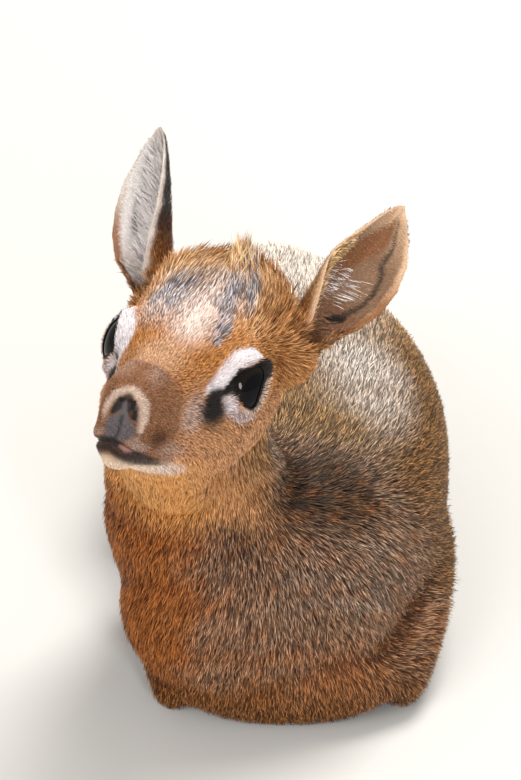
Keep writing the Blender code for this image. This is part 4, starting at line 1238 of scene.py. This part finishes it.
def ear_coat(rows, side):
    """The coat rows with those of one ear laid over them."""
    share, across, inside, on_ear = EAR_FIELDS[side]
    left = side > 0
    # the right ear's back starts from a dark russet: painted shade, as it is turned from the light
    coat = Markings(len(rows), "ear_back" if left else "shaded_ear_back")
    edge = np.abs(across)
    coat.lay("temple", smoothstep(0.36, 0.16, share) * 0.95)
    coat.lay("smoke", smoothstep(0.48, 0.68, share - 0.25 * across) * (0.5 if left else 0.95))
    # on the left ear the inner face gets the brown inside colour instead of the pale lining: painted shade, as
    # it is turned from the light
    coat.lay("inside" if left else "lining", inside)
    rust_hollow = near_route(share, across, RUST_HOLLOW)
    coat.lay("rim", inside * smoothstep(0.66, 0.92, share) * (0.6 if left else 0))
    coat.lay("patch", inside * smoothstep(0.32, 0.12, rust_hollow) * (0.95 if left else 0.3))
    coat.lay("lower", inside * smoothstep(0.44, 0.3, share) * (0.9 if left else 0.3))
    # painted shade: near black in the crease and in the hole at the bottom of the ear
    coat.lay("hollow_shade", inside * smoothstep(0.08, 0.02, near_route(share, across, EAR_CREASE)) * 0.8)
    hole = near_route(share, across, EAR_HOLE)
    coat.lay("hollow_shade", inside * smoothstep(0.1, 0.03, hole))
    rim = np.maximum(smoothstep(0.8, 0.92, edge), smoothstep(0.9, 0.97, share))
    rim = rim * np.maximum(inside, smoothstep(0.82, 0.92, edge))
    coat.lay("rim" if left else "pale_rim", rim)
    coat.lay("temple", rim * smoothstep(0.75, 0.45, share) * (across > 0) * 0.9)
    coat.lay("ear_back", folded_fur(side))
    return rows + (coat.rows - rows) * on_ear[:, None]


skin_rows = coat_rows(skin_points)
for side in SIDES:
    skin_rows = ear_coat(skin_rows, side)
give(skin_mesh, "coat", skin_colour(skin_rows))
print("coat rows:", skin_rows.shape)

# %% [markdown]
# Hair length, thickness, lift and number per square millimetre change from the velvet of the muzzle to the
# loose coat of the back. None grows on the eyeballs' side of the lids, in the nostrils, or underneath,
# where the animal rests on the floor.

# %% Length and density of the hair
FACE_X = (-50, -34, -20, -6, 8, 20, 34, 50)  # places along the face
FACE_LENGTH = (6.2, 5.4, 4.8, 3.9, 2.7, 1.9, 1.3, 0.9)
FACE_DENSITY = (2.8, 3.3, 3.8, 4.5, 5.6, 6.2, 7.2, 8.2)
SIZES = (0.9, 2.5, 5.0, 9.0)  # a hair's length, and its tuft's width below
WIDTHS = (0.15, 0.22, 0.3, 0.4)
BODY_DENSITY = 2.2

x, y, z = skin_local.T
height = skin_points[:, 2] / MM
face = head_share(skin_local)
body_length = 7 - 2 * smoothstep(45, 92, height) * smoothstep(-10, -50, skin_points[:, 1] / MM)
body_length = body_length + (4 - body_length) * smoothstep(30, 12, height)
on_face = np.interp(x, FACE_X, FACE_LENGTH)
on_face = on_face + (2.9 - on_face) * smoothstep(12, -4, z) * smoothstep(-40, -20, x) * smoothstep(4, -4, x)
forehead = smoothstep(12, 4, x) * smoothstep(6, 14, z) * smoothstep(18, 12, np.abs(y))
on_face = on_face + (5 - on_face) * forehead
fluff = smoothstep(-2, -11, x) * smoothstep(15, 23, z) * smoothstep(-44, -34, x)
fluff = fluff * smoothstep(7, 13, np.linalg.norm(skin_local - CREST_FOOT, axis=1))
on_face = on_face + (7.6 - on_face) * fluff
on_face = on_face + (3.6 - on_face) * smoothstep(-28.5, -33, z) * smoothstep(24, 10, x)
hair_length = body_length + (on_face - body_length) * face
hair_density = BODY_DENSITY + (np.interp(x, FACE_X, FACE_DENSITY) - BODY_DENSITY) * face
hair_length = hair_length + (1.9 - hair_length) * on_ears
hair_density = hair_density + (3.4 - hair_density) * on_ears
hair_lift = np.radians(15 + 5 * face + 11 * fluff)
sided = mirrored(skin_local)
hair_length = hair_length * (1 - 0.35 * stripe(sided, BROW, 3.4, 0.3))
for side in SIDES:
    share, across, inside, on_ear = EAR_FIELDS[side]
    at_rim = np.maximum(smoothstep(0.82, 0.97, np.abs(across)), smoothstep(0.9, 0.97, share)) * on_ear
    at_rim = at_rim * (1 - folded_fur(side))
    hair_density = hair_density * (1 - 0.3 * inside * on_ear * (1 - at_rim) * (1 - folded_fur(side)))
    hair_length = hair_length * (1 - 0.35 * inside * on_ear) * (1 - 0.58 * at_rim)
    hair_length = hair_length + (3.6 - hair_length) * folded_fur(side)
    bottom = smoothstep(0.3, 0.22, share) * inside * on_ear
    hair_length = hair_length + (3.4 - hair_length) * bottom * smoothstep(0.05, 0.12, share)
    eye_far = np.linalg.norm(skin_local - eye_centre(side), axis=1)
    edge = beyond(skin_local, side, LID_MARGIN)
    bald = (eye_far < 11.5) | ((eye_far < 16) & (edge < 1.5))
    hair_density = hair_density * ~bald
    hair_length = hair_length * np.interp(eye_far, (12.5, 17), (0.6, 1))
hair_density = hair_density * (1 - on_front(sided, NOSTRIL, 1.4, 0.1) * (x > 40))
hair_density = hair_density * (1 - on_front(sided, MOUTH, 1.0, 0.2) * (x > 16))
nose_pad = blob(sided * FLAT, (9.5, 0, -17), (2, 2.6, 7), 0.25)
hair_density = hair_density * (1 - 0.97 * nose_pad * (x > 42) * (z > -16.5))
hair_density = hair_density * (1 - 0.5 * blob(sided * FLAT, (9.5, 0, -17), (2, 2.6, 7), 0.25) * (x > 42))
under = smoothstep(-0.5, -0.8, skin_normals[:, 2]) * smoothstep(8, 3, height)
hair_density = hair_density * (1 - 0.97 * under)
hair_width = np.interp(hair_length, SIZES, WIDTHS)
a, b, c = (skin_points[skin_corners[:, k]] / MM for k in range(3))
areas = np.linalg.norm(np.cross(b - a, c - a), axis=1) / 2
wanted = (areas * hair_density[skin_corners].mean(1)).sum()
print("skin area in square cm:", round(areas.sum() / 100), "tufts wanted:", round(wanted))

# %% [markdown]
# One material draws every tuft. A node group takes the tuft's own colour and darkens it at the root, as
# painted shade deep in the coat, and in fine lines along the blade, so that one blade reads as several hairs.
# Half of the shading direction comes from the skin under the tuft, which keeps thin blades from flickering
# between light and dark.

# %% Hair material


def group_of(name, inputs, outputs):
    """A new shader node group with these sockets, and its two end nodes."""
    group = bpy.data.node_groups.new(name, "ShaderNodeTree")
    for label, kind in inputs.items():
        group.interface.new_socket(label, in_out="INPUT", socket_type=kind)
    for label, kind in outputs.items():
        group.interface.new_socket(label, in_out="OUTPUT", socket_type=kind)
    return group, group.nodes.new("NodeGroupInput"), group.nodes.new("NodeGroupOutput")


def math_node(tree, kind, *values, clamp=False):
    """A Math node with numbers or sockets plugged into it. Gives its output."""
    node = tree.nodes.new("ShaderNodeMath")
    node.operation = kind
    node.use_clamp = clamp
    for socket, value in zip(node.inputs, values):
        if isinstance(value, bpy.types.NodeSocket):
            tree.links.new(value, socket)
        else:
            socket.default_value = value
    return node.outputs[0]


def scaled(tree, colour, factor):
    """A colour times a number."""
    node = tree.nodes.new("ShaderNodeVectorMath")
    node.operation = "SCALE"
    tree.links.new(colour, node.inputs[0])
    tree.links.new(factor, node.inputs["Scale"])
    return node.outputs[0]


def attribute(tree, name, field):
    node = tree.nodes.new("ShaderNodeAttribute")
    node.attribute_name = name
    return node.outputs[field]


FLOAT, COLOUR, VECTOR = "NodeSocketFloat", "NodeSocketColor", "NodeSocketVector"

streaks, start, end = group_of(
    "hair_streaks_and_root_shade",
    {"Colour": COLOUR, "Along": FLOAT, "Edge": FLOAT, "Tuft": FLOAT, "Root shade": FLOAT},
    {"Colour": COLOUR, "Roughness": FLOAT},
)
phase = math_node(streaks, "MULTIPLY", start.outputs["Tuft"], 47.0)
lines = math_node(streaks, "SINE", math_node(streaks, "MULTIPLY_ADD", start.outputs["Edge"], 7.0, phase))
line_shade = math_node(streaks, "MULTIPLY_ADD", lines, 0.16, 1.0)
# painted shade deep in the coat: each blade is darkened in its lowest third, towards the root
ramp = math_node(streaks, "MULTIPLY", start.outputs["Along"], 3.0, clamp=True)
low = math_node(streaks, "SUBTRACT", 1.0, start.outputs["Root shade"])
root_shade = math_node(streaks, "MULTIPLY_ADD", ramp, start.outputs["Root shade"], low)
both = math_node(streaks, "MULTIPLY", line_shade, root_shade)
streaks.links.new(scaled(streaks, start.outputs["Colour"], both), end.inputs["Colour"])
rough = math_node(streaks, "MULTIPLY_ADD", lines, 0.07, 0.55)
streaks.links.new(rough, end.inputs["Roughness"])

hair = bpy.data.materials.new("short_hair")
hair.use_nodes = True
tree = hair.node_tree
shader = tree.nodes["Principled BSDF"]
part = tree.nodes.new("ShaderNodeGroup")
part.node_tree = streaks
part.inputs["Root shade"].default_value = 0.45
tree.links.new(attribute(tree, "coat", "Color"), part.inputs["Colour"])
for label, name in (("Along", "along"), ("Edge", "edge"), ("Tuft", "tuft")):
    tree.links.new(attribute(tree, name, "Fac"), part.inputs[label])
tree.links.new(part.outputs["Colour"], shader.inputs["Base Color"])
tree.links.new(part.outputs["Roughness"], shader.inputs["Roughness"])
shader.inputs["Specular IOR Level"].default_value = 0.14
blade = tree.nodes.new("ShaderNodeNewGeometry")
mixed = tree.nodes.new("ShaderNodeMix")
mixed.data_type = "VECTOR"
mixed.inputs["Factor"].default_value = 0.55
tree.links.new(blade.outputs["Normal"], mixed.inputs[4])
tree.links.new(attribute(tree, "outward", "Vector"), mixed.inputs[5])
tree.links.new(mixed.outputs[1], shader.inputs["Normal"])
print("hair material:", len(tree.nodes), "nodes")

# %% [markdown]
# Under the tufts the skin carries the same markings. Its own velvet is too fine for geometry and is a
# bump: noise stretched along the lie of the coat, so that it reads as tiny hairs lying down.

# %% Skin material
skin_lies = lie_of(skin_points, skin_normals)
give(skin_mesh, "lie", skin_lies)
BARE = blob(sided * FLAT, (9.5, 0, -15), (2, 2.6, 6), 0.3) * (x > 42)
BARE = BARE + on_front(sided, MOUTH, 1.2, 0.3) * (x > 16)
give(skin_mesh, "bare", BARE)

velvet, start, end = group_of(
    "velvet_nap",
    {"Colour": COLOUR, "Lie": VECTOR, "Place": VECTOR, "Size": FLOAT},
    {"Colour": COLOUR, "Height": FLOAT},
)
along = velvet.nodes.new("ShaderNodeVectorMath")
along.operation = "DOT_PRODUCT"
velvet.links.new(start.outputs["Lie"], along.inputs[0])
velvet.links.new(start.outputs["Place"], along.inputs[1])
squeeze = math_node(velvet, "MULTIPLY", along.outputs["Value"], -0.84)
stretched = velvet.nodes.new("ShaderNodeVectorMath")
stretched.operation = "MULTIPLY_ADD"
velvet.links.new(start.outputs["Lie"], stretched.inputs[0])
velvet.links.new(squeeze, stretched.inputs[1])
velvet.links.new(start.outputs["Place"], stretched.inputs[2])
grain = velvet.nodes.new("ShaderNodeTexNoise")
grain.inputs["Detail"].default_value = 3
velvet.links.new(stretched.outputs[0], grain.inputs["Vector"])
velvet.links.new(start.outputs["Size"], grain.inputs["Scale"])
velvet.links.new(grain.outputs["Fac"], end.inputs["Height"])
shade = math_node(velvet, "MULTIPLY_ADD", grain.outputs["Fac"], 1.3, 0.35)
velvet.links.new(scaled(velvet, start.outputs["Colour"], shade), end.inputs["Colour"])

hide = bpy.data.materials.new("velvet_skin")
hide.use_nodes = True
tree = hide.node_tree
shader = tree.nodes["Principled BSDF"]
nap = tree.nodes.new("ShaderNodeGroup")
nap.node_tree = velvet
nap.inputs["Size"].default_value = 2600
tree.links.new(attribute(tree, "coat", "Color"), nap.inputs["Colour"])
tree.links.new(attribute(tree, "lie", "Vector"), nap.inputs["Lie"])
place = tree.nodes.new("ShaderNodeTexCoord")
tree.links.new(place.outputs["Object"], nap.inputs["Place"])
tree.links.new(nap.outputs["Colour"], shader.inputs["Base Color"])
bump = tree.nodes.new("ShaderNodeBump")
bump.inputs["Strength"].default_value = 0.5
bump.inputs["Distance"].default_value = 0.0003
tree.links.new(nap.outputs["Height"], bump.inputs["Height"])
tree.links.new(bump.outputs["Normal"], shader.inputs["Normal"])
wet = attribute(tree, "bare", "Fac")
tree.links.new(math_node(tree, "MULTIPLY_ADD", wet, -0.4, 0.75), shader.inputs["Roughness"])
shader.inputs["Specular IOR Level"].default_value = 0.25
skin_mesh.materials.append(hide)

skin = add_piece("skin", skin_mesh)
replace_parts(skin, "head", "neck", "torso", "tail", "ear_left", "ear_right", *LIMBS)
print("skin material:", len(tree.nodes), "nodes")

# %% [markdown]
# Now the tufts grow. Places are drawn over the skin with the wanted number per square millimetre, and each
# tuft takes its length, lie and colours from the skin where it stands.

# %% The coat
def grow(name, slot, weight, unwrap, change=None, **shape):
    """Grows tufts with this number per square millimetre at each skin point, and adds them as pieces."""
    count = int((areas * weight[skin_corners].mean(1)).sum())
    where, share = scatter(skin_points, skin_corners, weight, count)
    fields = {
        "roots": between(skin_points, where, share),
        "normals": unit(between(skin_normals, where, share)),
        "lies": unit(between(skin_lies, where, share)),
        "length": between(hair_length, where, share) * MM,
        "width": between(hair_width, where, share) * MM,
        "lift": between(hair_lift, where, share),
        "rows": between(skin_rows, where, share),
    }
    if change:
        change(fields)
    meshes = tuft_meshes(
        name, fields["roots"], fields["normals"], fields["lies"], fields["length"], fields["width"],
        fields["lift"], tuft_colours(fields["rows"]), unwrap(fields["roots"]), **shape,
    )
    for mesh in meshes:
        mesh.materials.append(hair)
        add_piece(mesh.name, mesh)
    return count


def unwrap_head(roots):
    local = in_head(roots)
    return np.stack([np.arctan2(local[:, 1], local[:, 2]), local[:, 0]], 1)


def unwrap_body(roots):
    low = roots - np.array((0.0, 0.0, 0.03))
    return np.stack([np.arctan2(low[:, 0], low[:, 2]), roots[:, 1]], 1)


on_head = face > 0.5
print("face:", grow("face_hair", "rust_coat", hair_density * (on_head & (on_ears < 0.5)), unwrap_head))
print("body:", grow("body_hair", "grizzled_coat", hair_density * (~on_head & (on_ears < 0.5)), unwrap_body))


def unwrap_ear(side):
    def unwrap(roots):
        share, across, *_ = ear_places(in_head(roots), side)
        return np.stack([across, share], 1)
    return unwrap


for side, name in SIDES.items():
    mine = (on_ears >= 0.5) & (EAR_FIELDS[side][3] > 0.4)
    print("ear:", grow("ear_hair_" + name, "ear_coat", hair_density * mine, unwrap_ear(side), roll=0.3))

# %% [markdown]
# Long white hairs grow from the inner wall of each ear and lie across its hollow, thickest in the right ear.
# They are set as their own tufts, longer and finer than the rest. In the right ear a few are slate, as painted
# shade among the white hair.

# %% White hair inside the ears
def ear_white_rows(count):
    row = kind_row("white")
    row[:12] *= np.tile((1.0, 0.98, 0.93), 4)
    return np.tile(row, (count, 1))


for side, name in SIDES.items():
    share, across, inside, on_ear = EAR_FIELDS[side]

    def change(fields, side=side):
        count = len(fields["roots"])
        if side < 0:
            up = HEAD_AXES @ ear_axes(side)[2]
            fields["lies"] = unit(fields["lies"] + 1.3 * up + chance.normal(0, 0.2, (count, 3)))
        fields["length"] = chance.uniform(4, 8, count) * MM
        fields["width"] = np.full(count, 0.2 * MM)
        fields["lift"] = np.full(count, math.radians(6))
        fields["rows"] = ear_white_rows(count)
        # a few slate hairs among the right ear's white hair: painted shade between the hairs
        if side < 0:
            fields["rows"][chance.random(count) < 0.08] = kind_row("slate")

    if side > 0:
        band = smoothstep(0.3, 0.36, share) * smoothstep(0.54, 0.46, share)
        band = band * smoothstep(-0.6, -0.3, across) * smoothstep(0.25, 0.0, across) * 2.6
        band = band * smoothstep(0.25, 0.7, patchy(skin_local, 5, 17))
    else:
        band = smoothstep(0.2, 0.3, share) * smoothstep(0.92, 0.8, share)
        band = band * smoothstep(-0.98, -0.8, across) * smoothstep(0.6, 0.3, across) * 3.8
    band = band * inside * (on_ear > 0.5)
    print("white:", grow("white_hair_" + name, "ear_coat", band, unwrap_ear(side), change))

# %% [markdown]
# A crest of longer hair stands up where the hair of the forehead runs together. Its hairs lean in to one
# point. Most are orange, some on the left are slate, and a few have cream tips.

# %% The crest
def crest(fields):
    count = len(fields["roots"])
    local = in_head(fields["roots"])
    aim = CREST_TOP + chance.normal(0, 1, (count, 3)) * (1.0, 1.2, 1.0) - local
    fields["lies"] = unit(aim) @ HEAD_AXES.T
    far = np.linalg.norm(local - CREST_FOOT, axis=1)
    reach = np.linalg.norm(aim, axis=1)
    share = np.interp(far, (0, 4, 8), (1.0, 0.94, 0.62))
    fields["length"] = reach * share * chance.uniform(0.7, 1.05, count) * MM
    fields["width"] = np.full(count, 0.32 * MM)
    fields["lift"] = np.full(count, 0.06)
    # the crest takes the crown's colours, and with them the crown's painted highlight
    rows = np.tile(kind_row("crown"), (count, 1)) * np.array([1.02] * 12 + [0.6])
    left = (np.abs(local[:, 1] - 9 + chance.normal(0, 1, count)) < 1.4) & (chance.random(count) < 0.5)
    rows[left] = kind_row("slate")
    pale = chance.random(count) < 0.14
    rows[pale, 9:12] = kind_row("cream")[9:12]
    fields["rows"] = rows


crest_far = np.linalg.norm((skin_local - CREST_FOOT) * (0.8, 1, 1), axis=1)
crest_weight = smoothstep(8, 2, crest_far) * (skin_normals @ HEAD_AXES[:, 2] > 0.2) * 6
print("crest:", grow("crest_hair", "rust_coat", crest_weight, unwrap_head, crest, droop=0.15, roll=0.8))

# %% [markdown]
# The eyeball is a finer sphere in the place of the solid one. A fawn's eye looks black at first, and only
# close to does a dark brown iris show round the pupil, so its colour runs by the angle from the line of
# sight, under a clear wet coat.

# %% Eyes
def eyeball(side):
    shape = bmesh.new()
    bmesh.ops.create_uvsphere(shape, u_segments=72, v_segments=48, radius=EYE_RADIUS - 0.12)
    mesh = bpy.data.meshes.new("eyeball")
    shape.to_mesh(mesh)
    shape.free()
    around = places_of(mesh)
    sight = eye_ways([(0, 0)], side)[0]
    give(mesh, "off_sight", np.degrees(np.arccos(np.clip(unit(around) @ sight, -1, 1))))
    points = from_head(around + eye_centre(side))
    mesh.vertices.foreach_set("co", points.astype(np.float32).ravel())
    return mesh


wet_eye = bpy.data.materials.new("wet_eye")
wet_eye.use_nodes = True
tree = wet_eye.node_tree
shader = tree.nodes["Principled BSDF"]
iris = tree.nodes.new("ShaderNodeValToRGB")
iris.color_ramp.elements[0].position = 0.3
iris.color_ramp.elements[0].color = (0.002, 0.002, 0.0025, 1)
iris.color_ramp.elements[1].position = 0.36
iris.color_ramp.elements[1].color = (0.009, 0.006, 0.004, 1)
outer = iris.color_ramp.elements.new(0.75)
outer.color = (0.005, 0.004, 0.003, 1)
share = math_node(tree, "DIVIDE", attribute(tree, "off_sight", "Fac"), 90.0)
tree.links.new(share, iris.inputs["Fac"])
tree.links.new(iris.outputs["Color"], shader.inputs["Base Color"])
shader.inputs["Roughness"].default_value = 0.12
shader.inputs["Specular IOR Level"].default_value = 0
shader.inputs["Coat Weight"].default_value = 0.6
shader.inputs["Coat Roughness"].default_value = 0.02
shader.inputs["Coat IOR"].default_value = 1.28
for side, node in ((1, "eye_left"), (-1, "eye_right")):
    mesh = eyeball(side)
    mesh.materials.append(wet_eye)
    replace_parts(add_piece("eyeball_" + node[4:], mesh), node)

# %% Wet rims of the lids
RIM_THICK = 0.22


def tube(points, radius, sides=8):
    """A closed tube along a ring of points."""
    count = len(points)
    way = unit(np.roll(points, -1, 0) - np.roll(points, 1, 0))
    middle = points.mean(0)
    out = unit(points - middle)
    out = unit(out - way * (out * way).sum(1)[:, None])
    up = np.cross(way, out)
    turn = np.arange(sides) / sides * math.tau
    swung = out[:, None] * np.cos(turn)[:, None] + up[:, None] * np.sin(turn)[:, None]
    rings = points[:, None] + radius * swung
    k, n = np.meshgrid(np.arange(count), np.arange(sides), indexing="ij")
    k2, n2 = (k + 1) % count, (n + 1) % sides
    loops = np.stack([k * sides + n, k2 * sides + n, k2 * sides + n2, k * sides + n2], -1).ravel()
    return mesh_from("tube", rings.reshape(-1, 3), loops, np.full(count * sides, 4))


rim_black = bpy.data.materials.new("wet_black_rim")
rim_black.use_nodes = True
tree = rim_black.node_tree
shader = tree.nodes["Principled BSDF"]
spots = tree.nodes.new("ShaderNodeTexNoise")
spots.inputs["Scale"].default_value = 1800
ramp = tree.nodes.new("ShaderNodeValToRGB")
ramp.color_ramp.elements[0].color = (0.006, 0.005, 0.005, 1)
ramp.color_ramp.elements[1].color = (0.016, 0.013, 0.012, 1)
tree.links.new(spots.outputs["Fac"], ramp.inputs["Fac"])
tree.links.new(ramp.outputs["Color"], shader.inputs["Base Color"])
tree.links.new(math_node(tree, "MULTIPLY_ADD", spots.outputs["Fac"], 0.2, 0.5), shader.inputs["Roughness"])
shader.inputs["Specular IOR Level"].default_value = 0.08
for side, name in SIDES.items():
    ring = from_head(eye_centre(side) + lid_ways(side, 0) * 11.62)
    mesh = tube(ring, RIM_THICK * MM)
    mesh.name = "lid_rim_" + name
    mesh.materials.append(rim_black)
    add_piece("lid_rim_" + name, mesh)
print("lid rims:", LID_STEPS * 8, "faces each")

# %% [markdown]
# The hooves keep their solids and get a horn finish: dark, dull, with fine growth rings and paler
# mottling, all from noise in the object's own space.

# %% Hooves
horn = bpy.data.materials.new("hoof_horn")
horn.use_nodes = True
tree = horn.node_tree
shader = tree.nodes["Principled BSDF"]
place = tree.nodes.new("ShaderNodeTexCoord")
rings = tree.nodes.new("ShaderNodeTexWave")
rings.bands_direction = "Z"
rings.inputs["Scale"].default_value = 260
rings.inputs["Distortion"].default_value = 6
rings.inputs["Detail"].default_value = 3
tree.links.new(place.outputs["Object"], rings.inputs["Vector"])
mottle = tree.nodes.new("ShaderNodeTexNoise")
mottle.inputs["Scale"].default_value = 420
tree.links.new(place.outputs["Object"], mottle.inputs["Vector"])
ramp = tree.nodes.new("ShaderNodeValToRGB")
ramp.color_ramp.elements[0].color = (0.018, 0.013, 0.011, 1)
ramp.color_ramp.elements[1].color = (0.11, 0.085, 0.065, 1)
blend = math_node(tree, "MULTIPLY", rings.outputs["Fac"], mottle.outputs["Fac"])
tree.links.new(blend, ramp.inputs["Fac"])
tree.links.new(ramp.outputs["Color"], shader.inputs["Base Color"])
tree.links.new(math_node(tree, "MULTIPLY_ADD", mottle.outputs["Fac"], 0.3, 0.35), shader.inputs["Roughness"])
bump = tree.nodes.new("ShaderNodeBump")
bump.inputs["Strength"].default_value = 0.4
bump.inputs["Distance"].default_value = 0.0003
tree.links.new(rings.outputs["Fac"], bump.inputs["Height"])
tree.links.new(bump.outputs["Normal"], shader.inputs["Normal"])
hooves = [thing for name, thing in frame["nodes"].items() if name.startswith("hoof")]
for hoof in hooves:
    hoof.data.materials.clear()
    hoof.data.materials.append(horn)
print(len(hooves), "hooves")

# %% [markdown]
# A plain pale floor and a soft studio: a large lamp high behind the right shoulder for the shine along the
# back, a wide one in front for the face, and a pale world that fills the shadows.

# %% Floor and light
floor_mesh = mesh_from("floor", np.array([(-3, -3, 0), (3, -3, 0), (3, 3, 0), (-3, 3, 0)]), [0, 1, 2, 3], [4])
floor = bpy.data.objects.new("floor", floor_mesh)
bpy.context.scene.collection.objects.link(floor)
floor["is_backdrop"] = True
pale = bpy.data.materials.new("pale_floor")
pale.use_nodes = True
pale.node_tree.nodes["Principled BSDF"].inputs["Base Color"].default_value = (0.56, 0.55, 0.53, 1)
pale.node_tree.nodes["Principled BSDF"].inputs["Roughness"].default_value = 0.9
floor_mesh.materials.append(pale)

world = bpy.data.worlds.new("soft_room")
world.use_nodes = True
world.node_tree.nodes["Background"].inputs["Color"].default_value = (1.0, 0.98, 0.95, 1)
world.node_tree.nodes["Background"].inputs["Strength"].default_value = 0.65
bpy.context.scene.world = world
bpy.context.scene.view_settings.view_transform = "Standard"


def lamp(name, place, aim, size, power, colour, shape="SQUARE"):
    light = bpy.data.lights.new(name, "AREA")
    light.shape = shape
    light.size, light.energy, light.color = size, power, colour
    light.size_y = size * 2.3  # counts for an ellipse only
    thing = bpy.data.objects.new(name, light)
    thing.location = place
    thing.rotation_euler = (Vector(aim) - Vector(place)).to_track_quat("-Z", "Y").to_euler()
    bpy.context.scene.collection.objects.link(thing)


lamp("key", (0.5, 0.7, 1.7), (0, 0, 0.08), 0.9, 42, (1, 0.97, 0.93))
lamp("fill", (-1.1, -1.3, 1.3), (0, -0.05, 0.1), 1.2, 19, (1, 0.98, 0.96))
lamp("glint", (0.41, -1.36, 0.56), (-0.03, -0.07, 0.14), 0.22, 9, (0.97, 0.98, 1), "ELLIPSE")

# %% Sizes, and the end
low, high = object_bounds()
print("visual box in mm:", [round((b - a) / MM, 1) for a, b in zip(low, high)])
